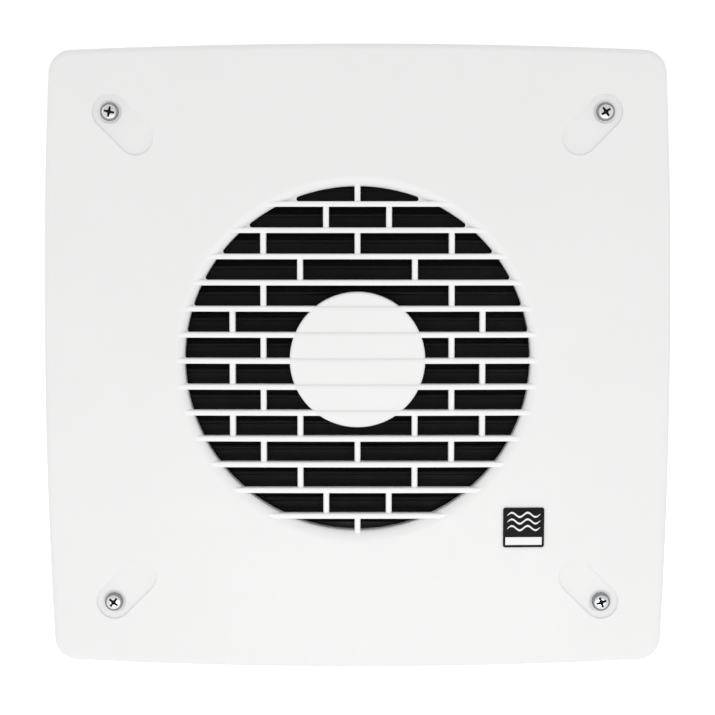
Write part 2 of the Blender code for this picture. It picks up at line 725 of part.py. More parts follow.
def impeller():
    bore, wall = SHAFT_RADIUS + GAP, 3.4 * MM
    front, back, inner_back = -5 * MM, 14 * MM, 10.4 * MM
    profile = [
        (bore, back),
        (HUB_RADIUS - 4 * MM, back),
        (HUB_RADIUS, back - 3 * MM),
        (HUB_RADIUS, front),
        (HUB_RADIUS - wall, front),
        (HUB_RADIUS - wall, inner_back),
        (bore, inner_back),
    ]
    hub = turned("impeller", profile, steps=32)
    return joined(hub, *[fan_blade(i) for i in range(FAN_BLADES)])


# ---------------------------------------------------------------- electrics


def control_box():
    """The box below the fan, its lid, its board, the supply terminals and the lead that runs to the motor."""
    low, high = (-75 * MM, -27 * MM, -124 * MM), (25 * MM, FRAME_FRONT - GAP, -90 * MM)
    wall = 1.8 * MM
    tray = box("control_box", low, high)
    hollow = box(
        "hollow",
        (low[0] + wall, low[1] - MM, low[2] + wall),
        (high[0] - wall, high[1] - wall, high[2] - wall),
    )
    lead_foot, lead_top = (LEAD_X, LEAD_Y, -95 * MM), (LEAD_X, LEAD_Y, -88 * MM)
    lead_hole = rod("lead_hole", LEAD_RADIUS + 0.6 * MM, lead_foot, lead_top)
    cable_hole = rod("cable_hole", 4 * MM, (20 * MM, -16 * MM, -104 * MM), (28 * MM, -16 * MM, -104 * MM))
    tray = cut(tray, hollow, lead_hole, cable_hole)
    lid = box("control_lid", (low[0], low[1] - 2 * MM, low[2]), (high[0], low[1] - GAP, high[2]))
    board = box("control_board", (-70 * MM, -9.6 * MM, -120 * MM), (-6 * MM, -8 * MM, -94 * MM))
    block = box("terminal_block", (2 * MM, -20 * MM, -119 * MM), (16 * MM, -8 * MM, -95 * MM))
    wells = [
        rod_along_y("well", 2 * MM, 9 * MM, -107 * MM + step * 7.4 * MM, -22 * MM, -13 * MM, sides=8)
        for step in (-1, 0, 1)
    ]
    return tray, lid, board, cut(block, *wells)


def motor_lead():
    """A round lead from the control box, up through the shutter frame, and along a strut to the motor plate."""
    rise = [(LEAD_X / MM, z) for z in (-93, -88, -82, -76, -70)]
    bend = [(-40.3, -64), (-41.2, -58), (-42, -52.5), (-41.5, -46.5), (-38.5, -41)]
    slope = [(-34, -35.5), (-29.5, -30.5), (-25, -25.5), (-21, -21.2)]
    route = rise + bend + slope
    curve = bpy.data.curves.new("motor_lead", "CURVE")
    curve.dimensions = "3D"
    curve.bevel_depth = LEAD_RADIUS
    curve.bevel_resolution = 2
    curve.use_fill_caps = True
    spline = curve.splines.new("POLY")
    spline.points.add(len(route) - 1)
    for point, (x, z) in zip(spline.points, route):
        point.co = (x * MM, LEAD_Y, z * MM, 1)
    return add("motor_lead", curve)


# ---------------------------------------------------------------- heat store, filters and duct


def filters():
    """Two round filters, each a ring with a cross of ribs outside it and a pad of media in it."""
    made = []
    for side, (start, end) in (("inner", FILTER_INNER), ("outer", FILTER_OUTER)):
        frame = ring(f"filter_frame_{side}", 72 * MM, CARTRIDGE_RADIUS, start, end, steps=32)
        rib = 1.5 * MM
        across = box("across", (-73 * MM, end - rib, -rib), (73 * MM, end - 0.1 * MM, rib))
        upright = box("upright", (-rib, end - rib, -73 * MM), (rib, end - 0.1 * MM, 73 * MM))
        made.append(joined(frame, across, upright))
        pad_end = end - rib - GAP
        made.append(rod_along_y(f"filter_pad_{side}", 71.5 * MM, 0, 0, start + MM, pad_end, sides=32))
    return made


def heat_core():
    """The ceramic heat store: a round block with square channels right through it."""
    half_cell = CELL_SIZE / 2
    limit = CORE_RADIUS - 3 * MM
    cells = []
    steps = [(i + 0.5) * CELL_PITCH for i in range(-5, 5)]
    for x in steps:
        for z in steps:
            if math.hypot(abs(x) + half_cell, abs(z) + half_cell) < limit:
                cells.append([(x + u, z + v) for u, v in rectangle(half_cell, half_cell)])
    return extruded("heat_core", [circle(CORE_RADIUS, 32), *cells], *CORE)


def core_sleeve():
    start, end = CORE[0] - 2 * MM, CORE[1] + 2 * MM
    return ring("core_sleeve", CORE_RADIUS + GAP, CARTRIDGE_RADIUS, start, end, steps=32)


def duct_parts():
    seal = ring("duct_seal", SHROUD_OUTER + GAP, DUCT_INNER - GAP, 6 * MM, 12 * MM, steps=40)
    tube = ring("duct_tube", DUCT_INNER, DUCT_OUTER, DUCT_START, DUCT_END, steps=40)
    sleeve = ring("duct_sleeve", SLEEVE_INNER, SLEEVE_OUTER, SLEEVE_START, SLEEVE_END, steps=40)
    return seal, tube, sleeve


# ---------------------------------------------------------------- outdoor end


def outer_frame():
    """The flange on the outside wall, with a spigot for the duct's sleeve and posts for the louvre's screws."""
    half = OUTER_SIZE / 2 - 3 * MM
    back = WALL_OUTSIDE + 3 * MM
    spigot_radius = SLEEVE_INNER - 0.5 * MM
    plate = extruded("outer_frame", [rounded_rectangle(half, half, 8 * MM)], WALL_OUTSIDE, back)
    shoulder = rod_along_y("shoulder", SHOULDER_RADIUS, 0, 0, SLEEVE_END + GAP, back - MM, sides=36)
    spigot = rod_along_y("spigot", spigot_radius, 0, 0, SLEEVE_END - 10 * MM, back - 2 * MM, sides=32)
    bore = rod_along_y("bore", spigot_radius - 2.6 * MM, 0, 0, SLEEVE_END - 20 * MM, back + MM, sides=32)
    posts, bores = [], [bore]
    for _, x, z in corners(OUTER_SCREW):
        posts.append(rod_along_y("post", 4.5 * MM, x, z, back - MM, 320 * MM, sides=8))
        bores.append(rod_along_y("bore", CLEAR_RADIUS, x, z, WALL_OUTSIDE - MM, 321 * MM, sides=8))
    return cut(joined(plate, shoulder, spigot, *posts), *bores)


def insect_screen():
    """A square frame with a net of bars, clipped in behind the louvre."""
    y = (303.5 * MM, 304.7 * MM)
    outer, inner = 77 * MM, 73 * MM
    frame = extruded("insect_screen", [rectangle(outer, outer), rectangle(inner, inner)], *y)
    bars = []
    for i in range(1, SCREEN_BARS + 1):
        at = -inner + i * 2 * inner / (SCREEN_BARS + 1)
        half, end = 0.6 * MM, inner + MM
        bars.append(box("upright", (at - half, y[0], -end), (at + half, y[1], end)))
        bars.append(box("across", (-end, y[0] + 0.1 * MM, at - half), (end, y[1] - 0.1 * MM, at + half)))
    return joined(frame, *bars)


def outer_grille():
    """The weather louvre: a shallow square cover whose window is filled by slats that slope outwards."""
    half, wall = OUTER_SIZE / 2, 2.6 * MM
    start = WALL_OUTSIDE + 0.4 * MM
    shell = extruded("outer_grille", [rounded_rectangle(half, half, 10 * MM)], start, OUTER_FRONT)
    hollow_half = half - wall
    hollow_edge = rounded_rectangle(hollow_half, hollow_half, 10 * MM - wall)
    hollow = extruded("hollow", [hollow_edge], start - MM, OUTER_FRONT - wall)
    window_half = 74 * MM
    window = extruded("window", [rectangle(window_half, window_half)], start, OUTER_FRONT + MM)
    shell = cut(shell, hollow, window)
    slats = []
    reach = window_half + 1.5 * MM
    for i in range(LOUVRE_COUNT):
        slat = box("slat", (-reach, -11 * MM, -0.9 * MM), (reach, 11 * MM, 0.9 * MM))
        height = (i - (LOUVRE_COUNT - 1) / 2) * LOUVRE_PITCH
        middle = OUTER_FRONT - 9.8 * MM
        slat.data.transform(
            Matrix.Translation((0, middle, height)) @ Matrix.Rotation(-LOUVRE_TILT, 4, "X")
        )
        slats.append(slat)
    cheeks = [
        box("cheek", (x - 1.7 * MM, 306 * MM, -77 * MM), (x + 1.7 * MM, OUTER_FRONT - MM, 77 * MM))
        for x in (-window_half - 1.3 * MM, window_half + 1.3 * MM)
    ]
    bosses, holes = [], []
    for _, x, z in corners(OUTER_SCREW):
        bosses.append(rod_along_y("boss", 5.4 * MM, x, z, 320.3 * MM, OUTER_FRONT - MM, sides=8))
        holes.append(rod_along_y("hole", CLEAR_RADIUS, x, z, 310 * MM, OUTER_FRONT + MM, sides=8))
    return cut(joined(shell, *cheeks, *slats, *bosses), *holes)


# ---------------------------------------------------------------- materials


def finish(name, colour, roughness, metallic=0.0):
    material = bpy.data.materials.new(name)
    material.use_nodes = True
    surface = material.node_tree.nodes["Principled BSDF"]
    surface.inputs["Base Color"].default_value = (*colour, 1)
    surface.inputs["Roughness"].default_value = roughness
    surface.inputs["Metallic"].default_value = metallic
    return material


def paint(material, *objects):
    for obj in objects:
        obj.data.materials.clear()
        obj.data.materials.append(material)


def shade(obj, angle=35):
    if obj.type == "MESH":
        obj.data.shade_smooth()
        obj.data.set_sharp_from_angle(angle=math.radians(angle))


# ---------------------------------------------------------------- assembly


def screw_sets():
    """Three sets of four screws: through the cover, the fan's flanges and the weather louvre."""
    cover = copies(
        pan_screw("cover_screw", 20 * MM, crossed=True),
        [(f"cover_screw_{s}", (x, SEAT_Y - GAP, z)) for s, x, z in corners(SCREW_PITCH / 2)],
    )
    clamp_y = SHUTTER_FLANGE[0] - GAP
    clamp = copies(
        pan_screw("clamp_screw", 10 * MM, crossed=False),
        [(f"clamp_screw_{s}", (x, clamp_y, z)) for s, x, z in corners(CLAMP_X, CLAMP_Z)],
    )
    outer_screw = pan_screw("outer_screw", 20 * MM, crossed=False)
    outer_screw.data.transform(Matrix.Rotation(math.pi, 4, "X"))
    outer = copies(
        outer_screw,
        [(f"outer_screw_{s}", (x, OUTER_FRONT + GAP, z)) for s, x, z in corners(OUTER_SCREW)],
    )
    return cover, clamp, outer


def main():
    for obj in list(bpy.data.objects):
        bpy.data.objects.remove(obj)
    bpy.context.scene.collection.children.link(PARTS)

    white = finish("white_plastic", (0.84, 0.84, 0.83), 0.42)
    black = finish("black_plastic", (0.016, 0.016, 0.018), 0.45)
    grey = finish("grey_plastic", (0.36, 0.37, 0.38), 0.5)
    pale = finish("duct_plastic", (0.78, 0.78, 0.76), 0.5)
    steel = finish("zinc_steel", (0.72, 0.73, 0.74), 0.28, 1.0)
    rubber = finish("rubber", (0.03, 0.03, 0.03), 0.8)
    foam = finish("foam", (0.12, 0.12, 0.125), 0.95)
    ceramic = finish("ceramic", (0.80, 0.76, 0.68), 0.85)
    media = finish("filter_media", (0.82, 0.83, 0.83), 0.95)
    board_green = finish("circuit_board", (0.03, 0.18, 0.08), 0.5)
    brass = finish("brass", (0.75, 0.6, 0.3), 0.3, 1.0)
    ink = finish("badge", (0.01, 0.01, 0.012), 0.35)

    cover_screws, clamp_screws, outer_screws = screw_sets()
    blades = shutter_blades()
    body, plunger = actuator()
    board, bearing_front, bearing_back, can, shaft, clip = motor_small_parts()
    tray, lid, control_board, terminals = control_box()
    frame_inner, pad_inner, frame_outer, pad_outer = filters()
    seal, tube, sleeve = duct_parts()

    paint(white, front_grille(), outer_grille())
    paint(ink, badge())
    paint(steel, cover_screws[0], clamp_screws[0], outer_screws[0])
    paint(steel, bearing_front, bearing_back, can, shaft, clip, stator())
    paint(black, blades[0], shutter_frame(), link_bar(), fan_shroud(), impeller())
    paint(grey, base_frame(), tray, lid, body, frame_inner, frame_outer, outer_frame())
    paint(brass, plunger)
    paint(pale, tube, sleeve)
    paint(rubber, cable_grommet(), seal, motor_lead())
    paint(foam, wall_gasket(), core_sleeve())
    paint(ceramic, heat_core())
    paint(media, pad_inner, pad_outer)
    paint(board_green, board, control_board)
    paint(finish("terminal_plastic", (0.7, 0.7, 0.66), 0.5), terminals)
    paint(finish("steel_net", (0.5, 0.5, 0.5), 0.4, 1.0), insect_screen())

    for obj in PARTS.objects:
        shade(obj)


main()
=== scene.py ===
"""The looks of a single-room heat recovery unit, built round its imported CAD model.

Frame as in the CAD: metres, +Z up, the room towards -Y, outdoors towards +Y, and the origin on the duct's
axis at the wall.
"""

import math

import bmesh
import bpy
from mathutils import Matrix, Vector

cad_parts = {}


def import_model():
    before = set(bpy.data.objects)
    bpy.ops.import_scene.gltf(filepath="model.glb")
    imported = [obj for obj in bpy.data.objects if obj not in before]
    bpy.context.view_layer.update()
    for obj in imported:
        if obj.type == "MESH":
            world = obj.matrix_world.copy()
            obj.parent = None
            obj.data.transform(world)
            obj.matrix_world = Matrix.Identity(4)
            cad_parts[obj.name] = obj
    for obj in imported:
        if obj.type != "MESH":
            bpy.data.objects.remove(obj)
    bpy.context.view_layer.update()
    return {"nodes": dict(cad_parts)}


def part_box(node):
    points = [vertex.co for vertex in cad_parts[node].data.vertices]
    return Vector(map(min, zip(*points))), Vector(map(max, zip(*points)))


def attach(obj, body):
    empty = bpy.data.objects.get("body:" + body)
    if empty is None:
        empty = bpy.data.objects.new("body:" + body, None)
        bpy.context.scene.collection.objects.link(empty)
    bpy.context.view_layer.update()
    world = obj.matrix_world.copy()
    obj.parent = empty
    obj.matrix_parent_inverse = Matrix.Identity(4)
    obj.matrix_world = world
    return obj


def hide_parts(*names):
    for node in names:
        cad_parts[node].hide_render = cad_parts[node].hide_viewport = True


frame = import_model()

MM = 0.001
ON_AXIS = 1e-9
UNIT, ROTOR, OUTSIDE = "unit", "fan_rotor", "outdoor_end"

# Cover, as in the CAD.
COVER_SIZE = 270 * MM
COVER_BOW = 2.6 * MM
COVER_CORNER = 10 * MM
COVER_RIM = 3 * MM
COVER_WALL = 2.4 * MM
COVER_FRONT = -40 * MM
COVER_BACK = -1 * MM
DOME_RADIUS = 1900 * MM
SCREW_PITCH = 212 * MM
THROAT_RADIUS = 74.3 * MM
LIP_RADIUS = 79 * MM
LIP_DEPTH = 3.4 * MM
LIP_START = math.radians(12)  # the lip's steep last part is left off
THROAT_BACK = -30.5 * MM
SEAT_Y = -33 * MM
SEAT_RADIUS = 4.8 * MM
BOSS_RADIUS = 6.5 * MM
BOSS_BACK = -29.7 * MM
CLEAR_RADIUS = 2.35 * MM
RECESS_HALF = 7.5 * MM
RECESS_REACH = 15.7 * MM
# A recess's wall as (depth below the cover's face, distance outside its outline), in mm: a soft upper edge,
# a straight wall and a fillet at the floor.
RECESS_EDGE = ((-0.30, 0.50), (-0.08, 0.26), (0.02, 0.15), (0.10, 0.07), (0.20, 0.02))
RECESS_WALL = (*RECESS_EDGE, (0.36, 0.0), (0.64, 0.0), (0.78, -0.04), (0.86, -0.12), (0.90, -0.26))

# Grille.
SLAT_PITCH = 11.2 * MM
SLAT_HALF = 1.15 * MM
SLAT_LAST = 6
SLAT_DROP = 0.5 * MM
SLAT_BACK = -34 * MM
SLAT_TOP_ROUND = 1.0 * MM
SLAT_LOW_ROUND = 0.35 * MM
FILLET = 1.0 * MM
FILLET_FRONT = -35.9 * MM
DISC_RADIUS = 29.1 * MM
DISC_STEP = 0.7 * MM
DISC_SINK = 0.06 * MM
DISC_ROUND = 1.1 * MM
BAR_HALF = 1.25 * MM
BAR_SETBACK = 1.2 * MM
NEAR_BAR, INNER_BAR, MIDDLE_BAR, FAR_BAR = 13.5 * MM, 24.6 * MM, 40.4 * MM, 53.7 * MM
# The bars' distances to either side of the middle, for each row of openings from the top down.
TOP_ROWS = ((0,), (NEAR_BAR,), (0, MIDDLE_BAR), (INNER_BAR,))
MIDDLE_ROWS = ((MIDDLE_BAR,), (FAR_BAR,), (MIDDLE_BAR,), (FAR_BAR,), (MIDDLE_BAR,), (INNER_BAR, FAR_BAR))
BAR_ROWS = (*TOP_ROWS, *MIDDLE_ROWS, (0, MIDDLE_BAR), (INNER_BAR,), (NEAR_BAR,), (0,))

# The other screws and holes, each at plus and minus (x, z).
WALL_X, WALL_Z = 112 * MM, 60 * MM
CLAMP_X, CLAMP_Z = 90 * MM, 62 * MM
OUTER_SCREW = 82 * MM

CORNERS = ("top_left", "top_right", "bottom_left", "bottom_right")


def corners(x, z):
    """The four points at plus and minus x and z."""
    return [(sx * x, sz * z) for sx in (-1, 1) for sz in (-1, 1)]


def shift(x, y, z):
    return Matrix.Translation((x, y, z))


def turn(degrees, axis):
    return Matrix.Rotation(math.radians(degrees), 4, axis)


# ---- mesh tools


def link(name, data):
    obj = bpy.data.objects.new(name, data)
    bpy.context.scene.collection.objects.link(obj)
    return obj


def to_object(name, shape):
    mesh = bpy.data.meshes.new(name)
    bmesh.ops.recalc_face_normals(shape, faces=shape.faces)
    shape.to_mesh(mesh)
    shape.free()
    return link(name, mesh)


def baked(obj):
    """The object with its modifiers, or its curve, turned into a plain mesh."""
    bpy.context.view_layer.update()
    graph = bpy.context.evaluated_depsgraph_get()
    mesh = bpy.data.meshes.new_from_object(obj.evaluated_get(graph))
    mesh.transform(obj.matrix_world)
    welded = bmesh.new()
    welded.from_mesh(mesh)
    bmesh.ops.remove_doubles(welded, verts=welded.verts, dist=0.002 * MM)
    welded.to_mesh(mesh)
    welded.free()
    name = obj.name
    bpy.data.objects.remove(obj)
    return link(name, mesh)


def merged(name, objs):
    """Several closed meshes as one object."""
    shape = bmesh.new()
    for obj in objs:
        obj.data.transform(obj.matrix_world)
        shape.from_mesh(obj.data)
        bpy.data.objects.remove(obj)
    mesh = bpy.data.meshes.new(name)
    shape.to_mesh(mesh)
    shape.free()
    return link(name, mesh)


def combined(target, others, operation):
    for other in others:
        modifier = target.modifiers.new(operation.lower(), "BOOLEAN")
        modifier.operation = operation
        modifier.solver = "EXACT"
        modifier.object = other
    result = baked(target)
    for other in others:
        bpy.data.objects.remove(other)
    return result


def joined(target, *others):
    return combined(target, others, "UNION")


def cut(target, *cutters):
    return combined(target, cutters, "DIFFERENCE")


def moved(obj, matrix):
    obj.data.transform(matrix)
    return obj


def in_mm(points):
    """Points given in millimetres, in metres."""
    return [(u * MM, v * MM) for u, v in points]


def y_span(node):
    """A CAD node's lowest and highest y."""
    return [corner.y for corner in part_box(node)]


def loft(name, rings, capped=True):
    """A skin through rings of points, closed at both ends if it is capped."""
    shape = bmesh.new()
    loops = [[shape.verts.new(p) for p in points] for points in rings]
    count = len(loops[0])
    for first, second in zip(loops, loops[1:]):
        for i in range(count):
            j = (i + 1) % count
            shape.faces.new((first[i], first[j], second[j], second[i]))
    if capped:
        shape.faces.new(loops[0])
        shape.faces.new(loops[-1][::-1])
    return to_object(name, shape)


def revolved(profile, steps):
    """A skin round Y. Its (radius, y) profile closes itself, unless it begins on the axis."""
    shape = bmesh.new()
    angles = [2 * math.pi * i / steps for i in range(steps)]
    columns = []
    for radius, y in profile:
        if radius < ON_AXIS:
            columns.append([shape.verts.new((0, y, 0))] * steps)
            continue
        around = [(radius * math.cos(a), y, radius * math.sin(a)) for a in angles]
        columns.append([shape.verts.new(point) for point in around])
    pairs = list(zip(columns, columns[1:]))
    if profile[0][0] > ON_AXIS:
        pairs.append((columns[-1], columns[0]))
    for first, second in pairs:
        for i in range(steps):
            j = (i + 1) % steps
            verts = list(dict.fromkeys((first[i], first[j], second[j], second[i])))
            if len(verts) > 2:
                shape.faces.new(verts)
    return shape


def turned(name, profile, steps):
    return to_object(name, revolved(profile, steps))


def filleted(points, radius, steps=4, closed=True):
    """An outline with rounded corners: one radius or a list of them, and less where an edge is short."""
    made = []
    for i, point in enumerate(points):
        here = Vector(point)
        before = Vector(points[i - 1]) - here
        after = Vector(points[(i + 1) % len(points)]) - here
        size = radius[i] if isinstance(radius, (list, tuple)) else radius
        at_end = not closed and i in (0, len(points) - 1)
        straight = before.angle(after) > math.radians(176)
        if at_end or size == 0 or straight:
            made.append(tuple(here))
            continue
        half = before.angle(after) / 2
        back = min(size / math.tan(half), 0.48 * before.length, 0.48 * after.length)
        inwards = (before.normalized() + after.normalized()).normalized()
        centre = here + inwards * (back / math.cos(half))
        start = here + before.normalized() * back - centre
        end = here + after.normalized() * back - centre
        sweep = start.angle(end)
        for s in range(steps + 1):
            share = s / steps
            arm = start * math.sin((1 - share) * sweep) + end * math.sin(share * sweep)
            made.append(tuple(centre + arm / math.sin(sweep)))
    return made


def arc(centre, radius, start, end, steps):
    angles = [math.radians(start + (end - start) * i / steps) for i in range(steps + 1)]
    return [(centre[0] + radius * math.cos(a), centre[1] + radius * math.sin(a)) for a in angles]


def circle(radius, sides, centre=(0, 0)):
    return arc(centre, radius, 0, 360, sides)[:-1]


def rounded_rectangle(half_x, half_z, radius, steps=8):
    points = []
    for quarter, (sx, sz) in enumerate(((1, 1), (-1, 1), (-1, -1), (1, -1))):
        centre = (sx * (half_x - radius), sz * (half_z - radius))
        points += arc(centre, radius, 90 * quarter, 90 * quarter + 90, steps)
    return points


def extruded(name, outlines, start, end, edge):
    """A plate across Y with rounded edges: the first outline is its edge, and the others are holes in it."""
    curve = bpy.data.curves.new(name, "CURVE")
    curve.dimensions = "2D"
    curve.fill_mode = "BOTH"
    curve.extrude = (end - start) / 2 - edge
    curve.bevel_depth = edge
    curve.bevel_resolution = 2
    curve.offset = -edge
    for number, outline in enumerate(outlines):
        spline = curve.splines.new("POLY")
        spline.points.add(len(outline) - 1)
        ordered = outline if number == 0 else outline[::-1]
        for point, (u, v) in zip(spline.points, ordered):
            point.co = (u, v, 0, 1)
        spline.use_cyclic_u = True
    obj = link(name, curve)
    obj.matrix_world = shift(0, (start + end) / 2, 0) @ turn(90, "X")
    return baked(obj)


def block(name, low, high, edge, steps=2):
    """A block between two corners, with rounded edges."""
    low, high = Vector(low), Vector(high)
    shape = bmesh.new()
    bmesh.ops.create_cube(shape, size=1)
    bmesh.ops.scale(shape, vec=high - low, verts=shape.verts)
    bmesh.ops.translate(shape, vec=(low + high) / 2, verts=shape.verts)
    bmesh.ops.bevel(shape, geom=shape.edges[:], offset=edge, segments=steps, profile=0.5, affect="EDGES")
    return to_object(name, shape)


def smooth(obj, angle):
    obj.data.shade_smooth()
    obj.data.set_sharp_from_angle(angle=math.radians(angle))
    weighted = obj.modifiers.new("normals", "WEIGHTED_NORMAL")
    weighted.keep_sharp = True
    return obj


def piece(obj, body, material, slot, *nodes, angle=35):
    """Finishes a new piece: shading, material, body, and the CAD nodes that it stands for, which it hides;
    its slot is not used.
    """
    smooth(obj, angle)
    obj.data.materials.clear()
    obj.data.materials.append(material)
    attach(obj, body)
    if nodes:
        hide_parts(*nodes)
    return obj


# ---- materials


class Nodes:
    """A material's node tree, in the object's own coordinates."""

    def __init__(self, name):
        self.material = bpy.data.materials.new(name)
        self.material.use_nodes = True
        self.tree = self.material.node_tree
        self.surface = self.tree.nodes["Principled BSDF"]
        self.place = self.add("TexCoord").outputs["Object"]
        self.height = None

    def wire(self, source, target):
        self.tree.links.new(source, target)

    def add(self, kind, vector=None, **values):
        """A new node with its inputs' values set and, for a texture, its vector wired."""
        node = self.tree.nodes.new("ShaderNode" + kind)
        for name, value in values.items():
            node.inputs[name].default_value = value
        if vector:
            self.wire(vector, node.inputs["Vector"])
        return node

    def noise(self, size, detail, stretch=(1, 1, 1), roughness=0.5):
        """Noise whose features are about that many metres across, drawn out along an axis by stretch."""
        place = self.add("Mapping", self.place, Scale=[1 / s for s in stretch]).outputs["Vector"]
        node = self.add("TexNoise", place, Scale=1 / size, Detail=detail, Roughness=roughness)
        return node.outputs["Fac"]

    def cells(self, size, feature="F1"):
        node = self.add("TexVoronoi", self.place, Scale=1 / size)
        node.feature = feature
        return node.outputs["Distance"]

    def wave(self, size, direction, distortion):
        node = self.add("TexWave", self.place, Scale=1 / size, Distortion=distortion)
        node.bands_direction = direction
        return node.outputs["Fac"]

    def ramp(self, fac, *stops):
        """Colours along a value: each stop is (position, colour)."""
        node = self.add("ValToRGB")
        ends = node.color_ramp.elements
        while len(ends) < len(stops):
            ends.new(0.5)
        for end, (position, colour) in zip(ends, stops):
            end.position = position
            end.color = (*colour, 1)
        self.wire(fac, node.inputs["Fac"])
        return node.outputs["Color"]

    def spread(self, fac, low, high, start=0.3, end=0.7):
        """A value that runs from low to high as fac runs from start to end."""
        node = self.add("MapRange", **{"From Min": start, "From Max": end, "To Min": low, "To Max": high})
        self.wire(fac, node.inputs["Value"])
        return node.outputs["Result"]

    def mixed(self, fac, first, second):
        """Two colours mixed by fac, which is a number or an output."""
        node = self.add("Mix")
        node.data_type = "RGBA"
        sockets = [s for s in node.inputs if s.enabled]
        for socket, value in zip(sockets, (fac, first, second)):
            if isinstance(value, bpy.types.NodeSocket):
                self.wire(value, socket)
            elif isinstance(value, tuple):
                socket.default_value = (*value, 1)
            else:
                socket.default_value = value
        return [s for s in node.outputs if s.enabled][0]

    def bump(self, height, depth):
        """Adds relief that is that many metres deep."""
        node = self.add("Bump", Distance=depth, Strength=1.0)
        self.wire(height, node.inputs["Height"])
        if self.height is not None:
            self.wire(self.height, node.inputs["Normal"])
        self.height = node.outputs["Normal"]
        self.wire(self.height, self.surface.inputs["Normal"])

    def colour(self, output):
        self.wire(output, self.surface.inputs["Base Color"])

    def rough(self, output):
        self.wire(output, self.surface.inputs["Roughness"])

    def fixed(self, name, value):
        """A value that is the same all over the surface."""
        self.surface.inputs[name].default_value = value


def shades(colour, change):
    """A darker and a lighter shade of a colour."""
    return tuple(c * (1 - change) for c in colour), tuple(min(1, c * (1 + change)) for c in colour)


def plastic(name, colour, rough, change=0.03, grain=0.35 * MM, depth=0.01 * MM, dust=None, shine=0.5):
    """Moulded plastic: a slow drift of tone, a fine stipple, and handling marks in the gloss."""
    n = Nodes(name)
    dark, light = shades(colour, change)
    tone = n.ramp(n.noise(60 * MM, 4), (0.35, dark), (0.65, light))
    if dust:
        specks = n.spread(n.noise(1.6 * MM, 6, roughness=0.7), 0.0, 0.5, 0.55, 0.8)
        tone = n.mixed(specks, tone, dust)
    n.colour(tone)
    n.rough(n.spread(n.noise(9 * MM, 5), rough - 0.05, rough + 0.07))
    n.bump(n.noise(grain, 2), depth)
    n.fixed("IOR", 1.5)
    n.fixed("Specular IOR Level", shine)
    return n.material


def extruded_plastic(name, colour, rough):
    """Extruded pipe: faint lines along its length, fine scuffs, a slightly uneven gloss."""
    n = Nodes(name)
    dark, light = shades(colour, 0.018)
    lines = n.noise(1.8 * MM, 3, stretch=(1, 60, 1))
    scuffs = n.spread(n.noise(5 * MM, 8, stretch=(6, 1, 1), roughness=0.75), 0.0, 0.25, 0.58, 0.75)
    tone = n.ramp(lines, (0.3, dark), (0.7, light))
    n.colour(n.mixed(scuffs, tone, tuple(c * 0.8 for c in colour)))
    n.rough(n.spread(n.noise(12 * MM, 5), rough - 0.06, rough + 0.08))
    n.bump(lines, 0.012 * MM)
    n.bump(n.noise(0.4 * MM, 2), 0.006 * MM)
    return n.material


def metal(name, colour, rough, stretch=(1, 1, 1)):
    """Plated or turned steel: drawn-out marks, a mottled gloss and a few dull spots."""
    n = Nodes(name)
    dark, light = shades(colour, 0.12)
    marks = n.noise(0.5 * MM, 4, stretch=stretch)
    n.colour(n.ramp(marks, (0.3, dark), (0.7, light)))
    n.rough(n.spread(n.noise(2.5 * MM, 5), rough - 0.06, rough + 0.12))
    n.bump(marks, 0.008 * MM)
    n.fixed("Metallic", 1.0)
    return n.material


def soft(name, colour, rough, size, depth, change=0.15):
    """Rubber, foam, felt or ceramic: a matt surface with pores and lumps of one size."""
    n = Nodes(name)
    dark, light = shades(colour, change)
    pores = n.cells(size)
    n.colour(n.mixed(n.noise(25 * MM, 4), n.ramp(pores, (0.1, dark), (0.6, light)), colour))
    n.rough(n.spread(n.noise(3 * MM, 4), rough - 0.08, min(1.0, rough + 0.05)))
    n.bump(pores, depth)
    n.bump(n.noise(size * 2.5, 4), depth)
    return n.material


def fibrous(name, colour):
    """Filter media: fibres that lie both ways."""
    n = Nodes(name)
    dark, light = shades(colour, 0.12)
    fibres = [n.noise(0.35 * MM, 3, stretch=stretch) for stretch in ((9, 1, 1), (1, 1, 9))]
    n.colour(n.mixed(0.5, *[n.ramp(lie, (0.35, dark), (0.6, light)) for lie in fibres]))
    n.rough(n.spread(n.noise(2 * MM, 3), 0.85, 1.0))
    for lie in fibres:
        n.bump(lie, 0.15 * MM)
    return n.material


def printed_board(name):
    """Circuit board: green lacquer over faint tracks."""
    n = Nodes(name)
    tracks = n.spread(n.cells(2.6 * MM, "DISTANCE_TO_EDGE"), 0.0, 1.0, 0.03, 0.06)
    n.colour(n.mixed(tracks, (0.10, 0.30, 0.12), (0.02, 0.13, 0.06)))
    n.rough(n.spread(n.noise(6 * MM, 4), 0.3, 0.5))
    n.bump(tracks, 0.03 * MM)
    return n.material


def laminated(name):
    """A stack of thin steel sheets across Y."""
    n = Nodes(name)
    sheets = n.wave(1.6 * MM, "Y", 0.4)
    n.colour(n.ramp(sheets, (0.2, (0.16, 0.15, 0.14)), (0.7, (0.42, 0.42, 0.42))))
    n.rough(n.spread(n.noise(2 * MM, 4), 0.35, 0.55))
    n.bump(sheets, 0.05 * MM)
    n.fixed("Metallic", 1.0)
    return n.material


def dusty_net(name):
    """Galvanised wire with dull spots."""
    n = Nodes(name)
    spots = n.noise(1.2 * MM, 5, roughness=0.7)
    n.colour(n.ramp(spots, (0.35, (0.30, 0.30, 0.31)), (0.65, (0.58, 0.59, 0.60))))
    n.rough(n.spread(spots, 0.35, 0.6))
    n.bump(spots, 0.01 * MM)
    n.fixed("Metallic", 1.0)
    return n.material


